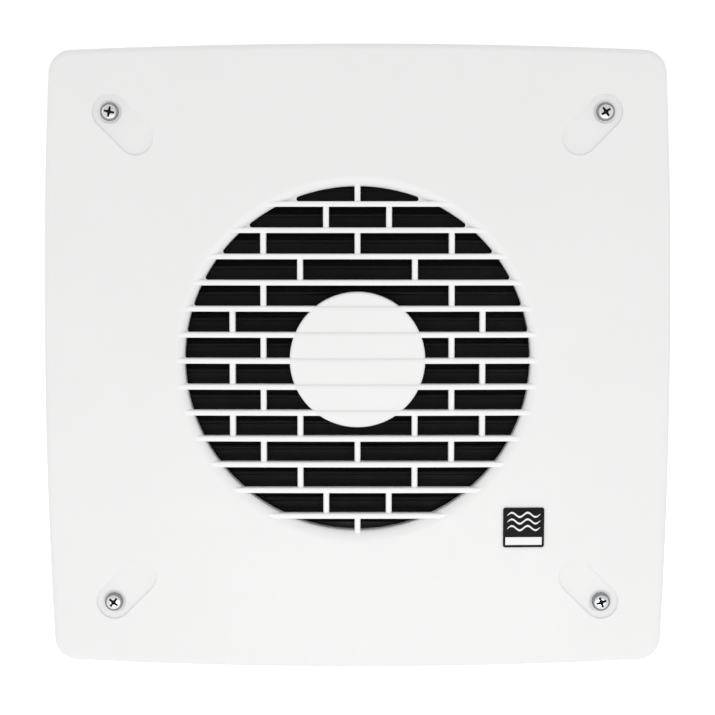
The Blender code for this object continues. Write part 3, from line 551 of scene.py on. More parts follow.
WHITE = plastic("moulded_white", (0.86, 0.86, 0.855), 0.4, change=0.006)
# A lighter copy of the cover's white for the slats and bars: painted light on their fronts.
LIT_SLAT_WHITE = plastic("grille_white_painted_light", (0.93, 0.93, 0.93), 0.38, change=0.006)
BLACK = plastic(
    "moulded_black", (0.009, 0.009, 0.010), 0.45, change=0.15, dust=(0.02, 0.02, 0.022), shine=0.3
)
BLADE_BLACK = plastic(
    "shutter_black", (0.006, 0.006, 0.0065), 0.42, change=0.2, dust=(0.012, 0.012, 0.013), shine=0.12
)
GREY = plastic("moulded_grey", (0.34, 0.35, 0.36), 0.48, change=0.05, dust=(0.45, 0.44, 0.42))
PIPE = extruded_plastic("extruded_pipe", (0.74, 0.74, 0.72), 0.42)
ZINC = metal("zinc_plated", (0.78, 0.79, 0.80), 0.22)
# A darker zinc for the screw heads' outer band: a painted darker reflection, which is painted shade.
SCREW_RIM_SHADE = metal("zinc_rim_painted_shade", (0.30, 0.31, 0.32), 0.3)
# A near-black metal for the screw heads' cross recess: painted shade.
SCREW_RECESS_SHADE = metal("screw_recess_painted_shade", (0.05, 0.05, 0.055), 0.45)
TURNED = metal("turned_steel", (0.62, 0.62, 0.63), 0.25, stretch=(6, 1, 6))
MOTOR = metal("drawn_steel", (0.55, 0.56, 0.57), 0.34, stretch=(1, 8, 1))
BRASS = metal("turned_brass", (0.74, 0.55, 0.26), 0.28, stretch=(6, 6, 1))
LAMINATED = laminated("laminated_steel")
NET = dusty_net("galvanised_wire")
BADGE = plastic(
    "badge_lacquer", (0.004, 0.004, 0.005), 0.3, change=0.1, grain=0.8 * MM, depth=0.002 * MM, shine=0.1
)
PRINT = plastic("badge_print", (0.86, 0.86, 0.86), 0.3, change=0.01, depth=0.003 * MM)
RUBBER = soft("moulded_rubber", (0.025, 0.025, 0.026), 0.75, 0.5 * MM, 0.01 * MM)
FOAM = soft("closed_foam", (0.09, 0.09, 0.095), 0.95, 0.8 * MM, 0.2 * MM, 0.3)
CERAMIC = soft("fired_ceramic", (0.74, 0.68, 0.58), 0.85, 0.3 * MM, 0.03 * MM, 0.08)
MEDIA = fibrous("filter_felt", (0.74, 0.75, 0.76))
BOARD = printed_board("board_lacquer")
TERMINAL = plastic("terminal_shell", (0.62, 0.62, 0.58), 0.45)


# ---- cover


def cover_outline(inset, corner_steps=10, side_steps=40):
    """The cover's edge, moved inwards by inset: four long arcs joined by tangent corner arcs."""
    half = COVER_SIZE / 2
    chord = half - COVER_BOW - COVER_CORNER * (1 - math.sqrt(0.5))
    side_radius = (chord**2 + COVER_BOW**2) / (2 * COVER_BOW)
    behind = side_radius - half
    reach = side_radius - COVER_CORNER
    corner = (math.sqrt(2 * reach**2 - behind**2) - behind) / 2
    tangent = math.degrees(math.atan2(corner, corner + behind))
    points = []
    for quarter in range(4):
        aim = Matrix.Rotation(math.radians(90 * quarter), 2)
        side = arc((-behind, 0), side_radius - inset, -tangent, tangent, side_steps)
        bend = arc((corner, corner), COVER_CORNER - inset, tangent, 90 - tangent, corner_steps)
        points += [tuple(aim @ Vector(p)) for p in side[:-1] + bend[:-1]]
    return points


def dome(radius):
    """y of the cover's front face at a distance from the duct's axis."""
    return COVER_FRONT + radius**2 / (2 * DOME_RADIUS)


def cover_skin():
    """The cover's outer face, lofted from round to square: throat, lip, dome, rounded rim and skirt."""
    edge = cover_outline(0)
    inner_edge = cover_outline(COVER_RIM)
    headings = [Vector(p).normalized() for p in inner_edge]

    def round_ring(radius, y):
        return [(h.x * radius, y, h.y * radius) for h in headings]

    def dome_ring(share):
        points = [(h * LIP_RADIUS).lerp(Vector(e), share) for h, e in zip(headings, inner_edge)]
        return [(p.x, dome(p.length), p.y) for p in points]

    def rim_ring(angle):
        outline = cover_outline(COVER_RIM * (1 - math.sin(angle)))
        drop = COVER_RIM * (1 - math.cos(angle))
        return [(x, dome(Vector(p).length) + drop, z) for (x, z), p in zip(outline, inner_edge)]

    lip_steps, dome_steps, rim_steps = 10, 12, 9
    rings = [round_ring(THROAT_RADIUS, THROAT_BACK)]
    lip_width = LIP_RADIUS - THROAT_RADIUS
    for i in range(lip_steps):
        angle = LIP_START + (math.pi / 2 - LIP_START) * i / lip_steps
        radius = LIP_RADIUS - lip_width * math.cos(angle) / math.cos(LIP_START)
        rings.append(round_ring(radius, dome(LIP_RADIUS) + LIP_DEPTH * (1 - math.sin(angle))))
    rings += [dome_ring(i / dome_steps) for i in range(dome_steps + 1)]
    rings += [rim_ring(math.pi / 2 * (i + 1) / rim_steps) for i in range(rim_steps)]
    rings.append([(x, COVER_BACK, z) for x, z in edge])
    return loft("room_cover", rings, capped=False)


def obround(outset):
    """A recess's outline grown by outset, round the screw at the origin and towards -X."""
    half = RECESS_HALF + outset
    return arc((0, 0), half, -90, 90, 24) + arc((-RECESS_REACH, 0), half, 90, 270, 24)


def recess_cutter(x, z):
    """The hollow round one cover screw, with its floor parallel to the dome there."""
    levels = ((-4, RECESS_WALL[0][1]), *RECESS_WALL)
    rings = [[(x, depth * MM, z) for x, z in obround(out * MM)] for depth, out in levels]
    cutter = loft("recess", rings)
    middle = math.hypot(SCREW_PITCH, SCREW_PITCH) / 2 - RECESS_REACH / 2
    tilt = Matrix.Rotation(math.atan(middle / DOME_RADIUS), 4, "Z")
    aim = Matrix.Rotation(-math.atan2(z, x), 4, "Y")
    return moved(cutter, aim @ shift(middle, dome(middle), 0) @ tilt @ shift(RECESS_REACH / 2, 0, 0))


def rod_y(name, radius, x, z, start, end, steps=40, edge=0.0):
    """A rod along Y, with rounded ends if edge says so."""
    profile = [(0, start), (radius, start), (radius, end), (0, end)]
    if edge:
        profile = filleted(profile, edge, closed=False)
    return moved(turned(name, profile, steps), shift(x, 0, z))


def room_cover():
    skin = cover_skin()
    wall = skin.modifiers.new("wall", "SOLIDIFY")
    wall.thickness = COVER_WALL
    wall.offset = -1
    wall.use_even_offset = True
    shell = baked(skin)
    outside, rim = -45 * MM, SEAT_RADIUS + 0.25 * MM
    seat = [(0, outside), (rim, outside), (rim, SEAT_Y - 0.3 * MM), (SEAT_RADIUS, SEAT_Y - 0.06 * MM)]
    seat += [(SEAT_RADIUS - 0.1 * MM, SEAT_Y), (0, SEAT_Y)]
    bosses, recesses, seats, holes = [], [], [], []
    for x, z in corners(SCREW_PITCH / 2, SCREW_PITCH / 2):
        bosses.append(rod_y("boss", BOSS_RADIUS, x, z, SEAT_Y - 0.2 * MM, BOSS_BACK))
        recesses.append(recess_cutter(x, z))
        seats.append(moved(turned("seat", seat, 48), shift(x, 0, z)))
        holes.append(rod_y("hole", CLEAR_RADIUS, x, z, outside, 0, 30))
    shell = joined(shell, merged("bosses", bosses))
    shell = cut(shell, merged("recesses", recesses), merged("seats", seats), merged("holes", holes))
    return piece(shell, UNIT, WHITE, "white_plastic", "front_grille", angle=40)


def slat(number):
    """One slat: its front follows the dome, and its ends sink under the lip."""
    z = number * SLAT_PITCH - SLAT_DROP
    length = SLAT_BACK - COVER_FRONT
    outline = [(length, -SLAT_HALF), (0, -SLAT_HALF), (0, SLAT_HALF), (length, SLAT_HALF)]
    outline = filleted(outline, [0.25 * MM, SLAT_LOW_ROUND, SLAT_TOP_ROUND, 0.25 * MM], 6)
    tip_radius = LIP_RADIUS - 0.2 * MM
    stations = [math.sin(math.pi / 2 * (-1 + 2 * i / 60)) for i in range(61)]
    if abs(z) < DISC_RADIUS:
        crossing = math.sqrt((DISC_RADIUS**2 - z**2) / (tip_radius**2 - z**2))
        stations = sorted(stations + [-crossing, crossing])
    rings = []
    for share in stations:
        points = []
        for depth, up in outline:
            height = z + up
            end_radius = tip_radius - 2.4 * MM * min(1, depth / (1.6 * MM)) ** 0.5
            x = share * math.sqrt(end_radius**2 - height**2)
            radius = math.hypot(x, height)
            sunk = 0.6 * MM * max(0, (radius - LIP_RADIUS + 2.9 * MM) / (2.7 * MM)) ** 2
            front = dome(radius) if depth < length - 0.3 * MM else COVER_FRONT
            points.append((x, front + depth + sunk, height))
        rings.append(points)
    return loft("slat", rings)


def corner_fillet(number, side):
    """The moulded fillet between a slat's top face and the throat's wall, at one end of the slat."""
    top = number * SLAT_PITCH - SLAT_DROP + SLAT_HALF
    centre = (math.sqrt((THROAT_RADIUS - FILLET) ** 2 - (top + FILLET) ** 2), top + FILLET)
    heading = math.degrees(math.atan2(centre[1], centre[0]))
    outer, low = THROAT_RADIUS + 0.6 * MM, top - 0.5 * MM
    points = [(math.sqrt(outer**2 - low**2), low), (centre[0], low)]
    points += arc(centre, FILLET, -90, heading, 8)
    points.append(arc((0, 0), outer, heading, heading, 1)[0])
    ends = (FILLET_FRONT, SLAT_BACK - 0.2 * MM)
    return loft("fillet", [[(side * x, y, z) for x, z in points] for y in ends])


def bar(x, low, high):
    """One upright bar, from inside one slat to inside the next, with a rounded front that is set back."""
    start = BAR_SETBACK
    length = SLAT_BACK - COVER_FRONT + 0.4 * MM
    outline = [(start, -BAR_HALF), (start, BAR_HALF), (length, BAR_HALF), (length, -BAR_HALF)]
    outline = filleted(outline, [0.8 * MM, 0.8 * MM, 0.25 * MM, 0.25 * MM], 5)
    rings = []
    for i in range(7):
        z = low + (high - low) * i / 6
        rings.append([(x + side, dome(math.hypot(x + side, z)) + depth, z) for depth, side in outline])
    return loft("bar", rings)


def grille():
    """The slats and the bars between them, in a lighter copy of the cover's white that is painted light;
    where the slats cross the disc they keep the cover's own white.
    """
    numbers = range(-SLAT_LAST, SLAT_LAST + 1)
    slats = [slat(k) for k in numbers] + [corner_fillet(k, side) for k in numbers for side in (-1, 1)]
    slats = piece(merged("grille_slats", slats), UNIT, LIT_SLAT_WHITE, "white_plastic")
    # Where the slats cross the disc they take the cover's own white, without the painted light.
    slats.data.materials.append(WHITE)
    for face in slats.data.polygons:
        if math.hypot(face.center.x, face.center.z) < DISC_RADIUS:
            face.material_index = 1
    bars = []
    inside = SLAT_HALF - 0.3 * MM
    for row, offsets in enumerate(BAR_ROWS):
        top = (SLAT_LAST + 1 - row) * SLAT_PITCH - SLAT_DROP
        low, high = top - SLAT_PITCH + inside, top - inside
        for offset in offsets:
            for x in sorted({offset, -offset}):
                limit = math.sqrt((THROAT_RADIUS + 1.2 * MM) ** 2 - (abs(x) + BAR_HALF) ** 2)
                bars.append(bar(x, max(low, -limit), min(high, limit)))
    piece(merged("grille_bars", bars), UNIT, LIT_SLAT_WHITE, "white_plastic")


def disc():
    """The disc over the motor, lapped like shingles: flush below each slat, set back above the next."""
    flat, rim_steps = DISC_RADIUS - DISC_ROUND, 9
    rings = [DISC_RADIUS * i / 16 for i in range(16)]
    profile = [(radius, 0.0) for radius in rings if radius < flat - 0.3 * MM] + [(flat, 0.0)]
    for i in range(1, rim_steps + 1):
        a = math.pi / 2 * i / rim_steps
        profile.append((DISC_RADIUS - DISC_ROUND * (1 - math.sin(a)), DISC_ROUND * (1 - math.cos(a))))
    shape = revolved(profile, 144)
    over, under = 0.9 * MM, -0.7 * MM
    for k in range(-2, 4):
        for offset in (over, under):
            plane = {"plane_co": (0, 0, k * SLAT_PITCH - SLAT_DROP + offset), "plane_no": (0, 0, 1)}
            geometry = shape.verts[:] + shape.edges[:] + shape.faces[:]
            bmesh.ops.bisect_plane(shape, geom=geometry, dist=1e-7, **plane)
    for vert in shape.verts:
        k = math.floor((vert.co.z + SLAT_DROP - under) / SLAT_PITCH)
        above = vert.co.z - (k * SLAT_PITCH - SLAT_DROP)
        if above > over - 1e-7:
            share = (SLAT_PITCH + under - above) / (SLAT_PITCH + under - over)
        else:
            share = (above - under) / (over - under)
        level = DISC_SINK + DISC_STEP * max(0.0, min(1.0, share))
        vert.co.y += dome(math.hypot(vert.co.x, vert.co.z)) + level
    border = [e for e in shape.edges if len(e.link_faces) == 1]
    skirt = bmesh.ops.extrude_edge_only(shape, edges=border)["geom"]
    for vert in skirt:
        if isinstance(vert, bmesh.types.BMVert):
            vert.co.y = SLAT_BACK + 0.6 * MM
    bmesh.ops.contextual_create(shape, geom=[e for e in shape.edges if len(e.link_faces) == 1])
    return piece(to_object("grille_disc", shape), UNIT, WHITE, "white_plastic", angle=20)


# ---- screws and badge


def cross_outline(reach, half, bevel):
    """A plus sign with bevelled inner corners, as (x, z)."""
    wing = [(reach, -half), (reach, half), (half + bevel, half), (half, half + bevel)]
    points = []
    for quarter in range(4):
        aim = Matrix.Rotation(math.radians(90 * quarter), 2)
        points += [tuple(aim @ Vector(p)) for p in wing]
    return points


def screw_mesh(length):
    """An M4 pan-head screw with a cross recess, which points along +Y from under its head."""
    head = [(0, -2.6), (1.4, -2.58), (2.3, -2.45), (3.0, -2.2), (3.55, -1.8), (3.88, -1.3)]
    head += [(4.0, -0.75), (4.0, -0.25), (3.8, 0), (1.95, 0)]
    thread = []
    for i in range(int(length / (0.7 * MM)) - 3):
        thread += [(1.62, 0.8 + 0.7 * i), (1.95, 1.15 + 0.7 * i)]
    tip = [(1.5, length / MM - 1.3), (0, length / MM)]
    screw = turned("screw", in_mm(head + thread + tip), 64)
    rings = []
    recess = ((-3.2, 2.62, 0.52, 0.5), (-2.0, 2.0, 0.44, 0.42), (-0.8, 1.05, 0.3, 0.3))
    for level, *sizes in (*recess, (-0.5, 0.35, 0.12, 0.1)):
        rings.append([(x, level * MM, z) for x, z in cross_outline(*[size * MM for size in sizes])])
    return smooth(cut(screw, loft("cross", rings)), 30)


def screws():
    """Four screws in the room cover and four in the weather louvre, each turned to an angle of its own, with
    painted shade in the cross recess and on the head's outer band.
    """
    first = screw_mesh(20 * MM)
    mesh, head_height = first.data, 2.6 * MM
    cross, rim = [], []
    # Faces in the cross recess take painted shade, and faces on the head's outer band a painted darker
    # reflection.
    for face in mesh.polygons:
        y, radius = face.center.y / MM, math.hypot(face.center.x, face.center.z) / MM
        if -2.42 < y < -0.3 and radius < 2.3:
            cross.append(face.index)
        elif y < 0.1 and radius > 3.2:
            rim.append(face.index)
    sets = (("cover", UNIT, 1, (12, 55, 38, 71)), ("outer", OUTSIDE, -1, (25, 64, 80, 7)))
    for name, body, heading, angles in sets:
        for corner, angle in zip(CORNERS, angles):
            node = f"{name}_screw_{corner}"
            low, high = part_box(node)
            middle = (low + high) / 2
            under = low.y + head_height if heading > 0 else high.y - head_height
            screw = link(f"zinc_{name}_screw_{corner}", mesh.copy())
            aim = turn(angle, "Y") if heading > 0 else turn(180, "X") @ turn(angle, "Y")
            moved(screw, shift(middle.x, under, middle.z) @ aim)
            piece(screw, body, ZINC, "zinc_steel", node, angle=30)
            for number, (material, faces) in enumerate(((SCREW_RECESS_SHADE, cross), (SCREW_RIM_SHADE, rim)), 1):
                screw.data.materials.append(material)
                for face in faces:
                    screw.data.polygons[face].material_index = number
    bpy.data.objects.remove(first)


def badge():
    """The badge plate: three plain waves and a blank strip in relief on a black plate."""
    x, z = 71.8 * MM, -72.8 * MM
    slope = Matrix.Rotation(x / DOME_RADIUS, 4, "Z") @ Matrix.Rotation(-z / DOME_RADIUS, 4, "X")
    place = shift(x, dome(math.hypot(x, z)) - 0.15 * MM, z) @ slope
    outline = rounded_rectangle(8.9 * MM, 8.7 * MM, 1.0 * MM)
    plate = extruded("badge_plate", [outline], -0.42 * MM, 0, 0.12 * MM)
    piece(moved(plate, place), UNIT, BADGE, "badge_black", "badge")
    relief = []
    front, foot = -0.49 * MM, -0.3 * MM
    for level in (5.6, 2.7, -0.2):
        rings = []
        for i in range(49):
            share = -1 + 2 * i / 48
            u = share * 7.2 * MM
            v = level * MM + 0.95 * MM * math.sin(share * 2.1 * math.pi)
            half = 0.42 * MM * (1 - 0.75 * abs(share) ** 6)
            section = ((front, -half), (front, half), (foot, half), (foot, -half))
            rings.append([(u, y, v + up) for y, up in section])
        relief.append(loft("wave", rings))
    relief.append(block("strip", (-7.9 * MM, front, -7.6 * MM), (7.9 * MM, foot, -4.2 * MM), 0.05 * MM))
    piece(moved(merged("badge_relief", relief), place), UNIT, PRINT, "badge_black")


# ---- shutter

BLADE_Y = -28.2 * MM
FIRST_PIVOT = 73 * MM
PIVOT_TO_TOP = 1.2 * MM
BLADE_LEFT, BLADE_RIGHT = -81.2 * MM, 74.9 * MM
BLADE_COUNT = 13
PIVOT_END = 84.6 * MM
CRANK_LENGTH = 6 * MM
CRANK_ANGLE = math.radians(-40)


def rod(name, radius, start, end):
    """A thin rod between two points, with rounded ends."""
    start, end = Vector(start), Vector(end)
    length = (end - start).length
    profile = filleted([(0, 0), (radius, 0), (radius, length), (0, length)], 0.2 * MM, 3, False)
    aim = Vector((0, 1, 0)).rotation_difference(end - start).to_matrix().to_4x4()
    return moved(turned(name, profile, 20), shift(*start) @ aim)


def shutter():
    """The blades on their pivots, each lapping the next, with a crank at its right end."""
    t, step = 0.6 * MM, 1.5 * MM
    foot = -11.7 * MM
    outline = [(-t, PIVOT_TO_TOP), (-t, -7.4 * MM), (step, -9.2 * MM), (step, foot)]
    outline += [(step + 2 * t, foot), (step + 2 * t, -8.8 * MM), (t, -7 * MM), (t, PIVOT_TO_TOP)]
    outline = filleted(outline, [r * MM for r in (0.45, 0.9, 0.9, 0.4, 0.4, 1.2, 1.2, 0.45)], 5)
    ends = (BLADE_LEFT, BLADE_LEFT + 0.3 * MM, BLADE_RIGHT - 0.3 * MM, BLADE_RIGHT)
    strip = loft("strip", [[(x, y, z) for y, z in outline] for x in ends])
    pivots = rod("pivots", 1.2 * MM, (-PIVOT_END, 0, 0), (PIVOT_END, 0, 0))
    low, high = (BLADE_RIGHT + 0.5 * MM, -1 * MM, -1.2 * MM), (76.8 * MM, 7.5 * MM, 1.2 * MM)
    arm = moved(block("arm", low, high, 0.3 * MM), Matrix.Rotation(CRANK_ANGLE, 4, "X"))
    y, z = CRANK_LENGTH * math.cos(CRANK_ANGLE), CRANK_LENGTH * math.sin(CRANK_ANGLE)
    pin = rod("pin", 1.0 * MM, (76 * MM, y, z), (80 * MM, y, z))
    blade = joined(strip, pivots, arm, pin)
    for number in range(1, BLADE_COUNT + 1):
        node = f"shutter_blade_{number:02d}"
        copy = link(f"louvre_blade_{number:02d}", blade.data.copy())
        moved(copy, shift(0, BLADE_Y, FIRST_PIVOT - (number - 1) * SLAT_PITCH))
        piece(copy, node, BLADE_BLACK, "black_plastic", node, angle=30)
    bpy.data.objects.remove(blade)


# ---- wall frame, fan


def base_frame():
    """The moulded wall plate, with posts for the cover's screws and shallow ribs on its back."""
    half = 122 * MM
    front, back = -5.4 * MM, -2.7 * MM
    holes = [circle(77 * MM, 96), circle(6.6 * MM, 40, (45 * MM, -104 * MM))]
    holes += [circle(2.8 * MM, 24, place) for place in corners(WALL_X, WALL_Z)]
    plate = extruded("wall_plate", [rounded_rectangle(half, half, 8 * MM, 10), *holes], front, back, 0.4 * MM)
    rib_front, rib_back, rib_edge = back - 0.8 * MM, -0.6 * MM, 0.25 * MM
    parts, bores = [], []
    half_pitch = SCREW_PITCH / 2
    places = zip(corners(half_pitch, half_pitch), corners(CLAMP_X, CLAMP_Z), corners(WALL_X, WALL_Z))
    for post, clamp, (x, z) in places:
        parts.append(rod_y("post", 5.5 * MM, *post, -29.4 * MM, back - 0.5 * MM, 40, 0.5 * MM))
        bores.append(rod_y("bore", CLEAR_RADIUS, *post, -31 * MM, 0, 28))
        bores.append(rod_y("bore", CLEAR_RADIUS, *clamp, -10 * MM, 0, 26))
        eye = ring_piece("eye", 3.6 * MM, 6.2 * MM, back - 1 * MM, rib_back, 0.3 * MM, 40, 4)
        parts.append(moved(eye, shift(x, 0, z)))
    edge = half - 3 * MM
    for sign in (-1, 1):
        low, high = (-edge, rib_front, sign * edge - 0.8 * MM), (edge, rib_back, sign * edge + 0.8 * MM)
        parts.append(block("rib", low, high, rib_edge))
        low, high = (sign * edge - 0.9 * MM, rib_front, -edge), (sign * edge + 0.9 * MM, rib_back, edge)
        parts.append(block("rib", low, high, rib_edge))
    for angle in (135, -135, 45, -45):
        low, high = (108 * MM, rib_front - 0.1 * MM, -0.7 * MM), (163 * MM, rib_back - 0.05 * MM, 0.7 * MM)
        parts.append(moved(block("rib", low, high, rib_edge), turn(angle, "Y")))
    body = cut(joined(plate, *parts), merged("bores", bores))
    piece(body, UNIT, GREY, "grey_plastic", "base_frame", angle=30)


def ring_piece(name, inner, outer, start, end, edge, steps=128, edge_steps=3):
    """A ring round Y with rounded edges."""
    section = [(inner, start), (outer, start), (outer, end), (inner, end)]
    return turned(name, filleted(section, edge, edge_steps), steps)


def wall_parts():
    """The foam gasket and the cable grommet."""
    gasket = ring_piece("foam_gasket", 82 * MM, 100 * MM, *y_span("wall_gasket"), 0.7 * MM)
    piece(gasket, UNIT, FOAM, "foam", "wall_gasket")
    low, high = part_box("cable_grommet")
    bore, neck, flange = 4 * MM, 6.2 * MM, 8.4 * MM
    profile = [(bore, low.y), (flange, low.y), (flange, low.y + 1.4 * MM), (neck, low.y + 1.4 * MM)]
    profile += [(neck, high.y - 1.2 * MM), (flange, high.y - 1.2 * MM), (flange, high.y), (bore, high.y)]
    grommet = turned("rubber_grommet", filleted(profile, 0.45 * MM, 3), 56)
    middle = (low + high) / 2
    moved(grommet, shift(middle.x, 0, middle.z))
    piece(grommet, UNIT, RUBBER, "rubber", "cable_grommet")


def fan_shroud():
    """The fan's flange and tube, and the motor plate and bearing boss on four struts."""
    outlines = [rounded_rectangle(96 * MM, 84 * MM, 6 * MM), circle(74.2 * MM, 90)]
    outlines += [circle(CLEAR_RADIUS, 26, place) for place in corners(CLAMP_X, CLAMP_Z)]
    flange = extruded("fan_housing", outlines, -8.4 * MM, -5.7 * MM, 0.35 * MM)
    tube = ring_piece("tube", 73.3 * MM, 75.3 * MM, -8.1 * MM, 38 * MM, 0.5 * MM, 144)
    plate = rod_y("plate", 29 * MM, 0, 0, -12.4 * MM, -9.8 * MM, 96, 0.9 * MM)
    boss = rod_y("boss", 9 * MM, 0, 0, -11 * MM, 8 * MM, 48, 0.4 * MM)
    struts = []
    for quarter in range(4):
        strut = block("strut", (27 * MM, -12.1 * MM, -2 * MM), (74.3 * MM, -6.2 * MM, 2 * MM), 0.9 * MM, 3)
        struts.append(moved(strut, turn(45 + 90 * quarter, "Y")))
    bore = rod_y("bore", 6.8 * MM, 0, 0, -20 * MM, 20 * MM, 52)
    body = cut(joined(flange, tube, plate, boss, *struts), bore)
    piece(body, UNIT, BLACK, "black_plastic", "fan_shroud", angle=30)


WHEEL_BLADES = 7


def wheel_blade(index):
    """One impeller blade: an aerofoil section that twists and widens from the hub to the tip."""
    root, tip, middle = 27.8 * MM, 72 * MM, 4.6 * MM
    stations, chord_steps = 12, 12
    upper = [(1, j / chord_steps) for j in range(chord_steps + 1)]
    lower = [(-1, 1 - j / chord_steps) for j in range(1, chord_steps)]
    rings = []
    for i in range(stations + 1):
        span = i / stations
        radius = root + (tip - root) * span
        pitch = math.radians(42 - 18 * span)
        chord = (27 + 16 * span) * MM
        ends = 1 if span < 0.97 else 0.97
        ring = []
        for side, share in upper + lower:
            along = (share - 0.5) * chord * ends
            taper = math.sin(math.pi * min(max(share, 0.02), 0.98)) ** 0.35
            thick = 1.15 * MM * (1 - abs(2 * share - 0.85) ** 2.2 * 0.6) * taper
            camber = 0.9 * MM * (1 - (2 * share - 1) ** 2)
            off = camber + side * thick * 0.75
            across = along * math.cos(pitch) - off * math.sin(pitch)
            height = middle + along * math.sin(pitch) + off * math.cos(pitch)
            angle = 2 * math.pi * index / WHEEL_BLADES + across / radius
            ring.append((radius * math.cos(angle), height, radius * math.sin(angle)))
        rings.append(ring)
    return loft("blade", rings)


def impeller():
    """The hub, an open cup over the motor, and its blades."""
    profile = in_mm([(2.8, 14), (25, 14), (29, 11), (29, -5), (25.6, -5), (25.6, 10.4), (2.8, 10.4)])
    radii = [radius * MM for radius in (0.3, 2, 2, 0.6, 0.6, 1.2, 0.3)]
    hub = turned("fan_wheel", filleted(profile, radii, 5), 112)
    wheel = joined(hub, *[wheel_blade(i) for i in range(WHEEL_BLADES)])
    piece(wheel, ROTOR, BLACK, "black_plastic", "impeller", angle=32)


# ---- duct and outdoor end


def duct():
    """The duct tube, and the sleeve that slides on it, with a thicker band at both ends."""
    tube = ring_piece("duct_pipe", 77.3 * MM, 80 * MM, *y_span("duct_tube"), 0.6 * MM, 160)
    piece(tube, UNIT, PIPE, "duct_plastic", "duct_tube")
    start, end = (y / MM for y in y_span("duct_sleeve"))
    profile = [(80.5, start), (82.6, start), (82.6, start + 5), (82.0, start + 6.2)]
    profile += [(82.0, end - 12), (82.6, end - 10.8), (82.6, end), (80.5, end)]
    sleeve = turned("duct_collar", filleted(in_mm(profile), 0.55 * MM, 3), 160)
    piece(sleeve, OUTSIDE, PIPE, "duct_plastic", "duct_sleeve")


def outer_frame():
    """The flange on the outside wall, with a spigot for the sleeve and posts for the louvre's screws."""
    outline = rounded_rectangle(92 * MM, 92 * MM, 8 * MM)
    plate = extruded("outer_flange", [outline], 300 * MM, 303 * MM, 0.5 * MM)
    profile = in_mm([(70, 286), (80, 286), (80, 296.3), (83.6, 296.3), (83.6, 302), (70, 302)])
    collar = turned("collar", filleted(profile, 0.5 * MM, 3), 144)
    parts, bores = [collar], [rod_y("bore", 77.4 * MM, 0, 0, 280 * MM, 305 * MM, 120)]
    for x, z in corners(OUTER_SCREW, OUTER_SCREW):
        parts.append(rod_y("post", 4.5 * MM, x, z, 302 * MM, 320 * MM, 36, 0.5 * MM))
        bores.append(rod_y("bore", CLEAR_RADIUS, x, z, 299 * MM, 321 * MM, 26))
    body = cut(joined(plate, *parts), *bores)
    piece(body, OUTSIDE, GREY, "grey_plastic", "outer_frame", angle=30)


def insect_screen():
    """A rim with a net of fine wires across it."""
    start, end = y_span("insect_screen")
    outer, inner = 77 * MM, 73 * MM
    outlines = [rounded_rectangle(half, half, 1 * MM, 3) for half in (outer, inner)]
    rim = extruded("screen_rim", outlines, start, end, 0.3 * MM)
    piece(rim, OUTSIDE, NET, "steel_net", "insect_screen")
    radius, pitch, reach = 0.22 * MM, 3 * MM, inner + 0.6 * MM
    middle = (start + end) / 2
    wires = []
    count = int(inner / pitch)
    for i in range(-count, count + 1):
        for y, angle in ((middle - radius, 0), (middle + radius, 90)):
            line = [[(x, y + u, i * pitch + v) for u, v in circle(radius, 6)] for x in (-reach, reach)]
            wires.append(moved(loft("wire", line), turn(angle, "Y")))
    piece(merged("screen_wires", wires), OUTSIDE, NET, "steel_net")


def soft_square(name, half, radius, levels):
    """A rounded square lofted through levels of (y, inset)."""
    rings = []
    for y, inset in levels:
        outline = rounded_rectangle(half - inset, half - inset, radius - inset, 10)
        rings.append([(x, y, z) for x, z in outline])
    return loft(name, rings)


def weather_louvre():
    """The outdoor cover: rounded front edges, and a window filled by sloping slats with drip lips."""
    start, front = y_span("outer_grille")
    half, corner, edge, wall = 95 * MM, 10 * MM, 3 * MM, 2.6 * MM
    levels = [(start, 0.4 * MM), (start + 0.4 * MM, 0)]
    for i in range(9):
        a = math.pi / 2 * i / 8
        levels.append((front - edge * (1 - math.sin(a)), edge * (1 - math.cos(a))))
    shell = soft_square("weather_louvre", half, corner, levels)
    levels = [(start - MM, 0), (front - wall - MM, 0), (front - wall, 0.9 * MM)]
    hollow = soft_square("hollow", half - wall, corner - wall, levels)
    levels = [(start, 0), (front - 1.2 * MM, 0), (front - 0.6 * MM, -0.12 * MM)]
    levels += [(front - 0.2 * MM, -0.4 * MM), (front + 0.4 * MM, -1.0 * MM)]
    shell = cut(shell, hollow, soft_square("window", 74 * MM, 2.5 * MM, levels))
    profile = in_mm([(-11, -0.9), (8.5, -0.9), (10.4, -2.2), (11, -1.6), (10.6, 0.9), (-11, 0.9)])
    profile = filleted(profile, [radius * MM for radius in (0.7, 2, 0.3, 0.3, 1.2, 0.7)], 4)
    slats = []
    for i in range(7):
        strip = loft("strip", [[(x, y, z) for y, z in profile] for x in (-75.5 * MM, 75.5 * MM)])
        slats.append(moved(strip, shift(0, front - 9.8 * MM, (i - 3) * 21 * MM) @ turn(-40, "X")))
    cheeks = []
    for side in (-1, 1):
        low, high = side * 75.3 * MM - 1.7 * MM, side * 75.3 * MM + 1.7 * MM
        cheeks.append(block("cheek", (low, 306 * MM, -77 * MM), (high, front - MM, 77 * MM), 0.3 * MM))
    bosses, holes = [], []
    for x, z in corners(OUTER_SCREW, OUTER_SCREW):
        bosses.append(rod_y("boss", 5.4 * MM, x, z, 320.3 * MM, front - MM, 36, 0.3 * MM))
        holes.append(rod_y("hole", CLEAR_RADIUS, x, z, 310 * MM, front + MM, 28))
    body = joined(shell, *cheeks, *slats, *bosses)
    piece(cut(body, merged("holes", holes)), OUTSIDE, WHITE, "white_plastic", "outer_grille", angle=30)


# ---- CAD nodes that stay


def dress(material, *nodes):
    """Gives CAD nodes whose shapes stay their material."""
    for node in nodes:
        obj = frame["nodes"][node]
        obj.data.materials.clear()
        obj.data.materials.append(material)


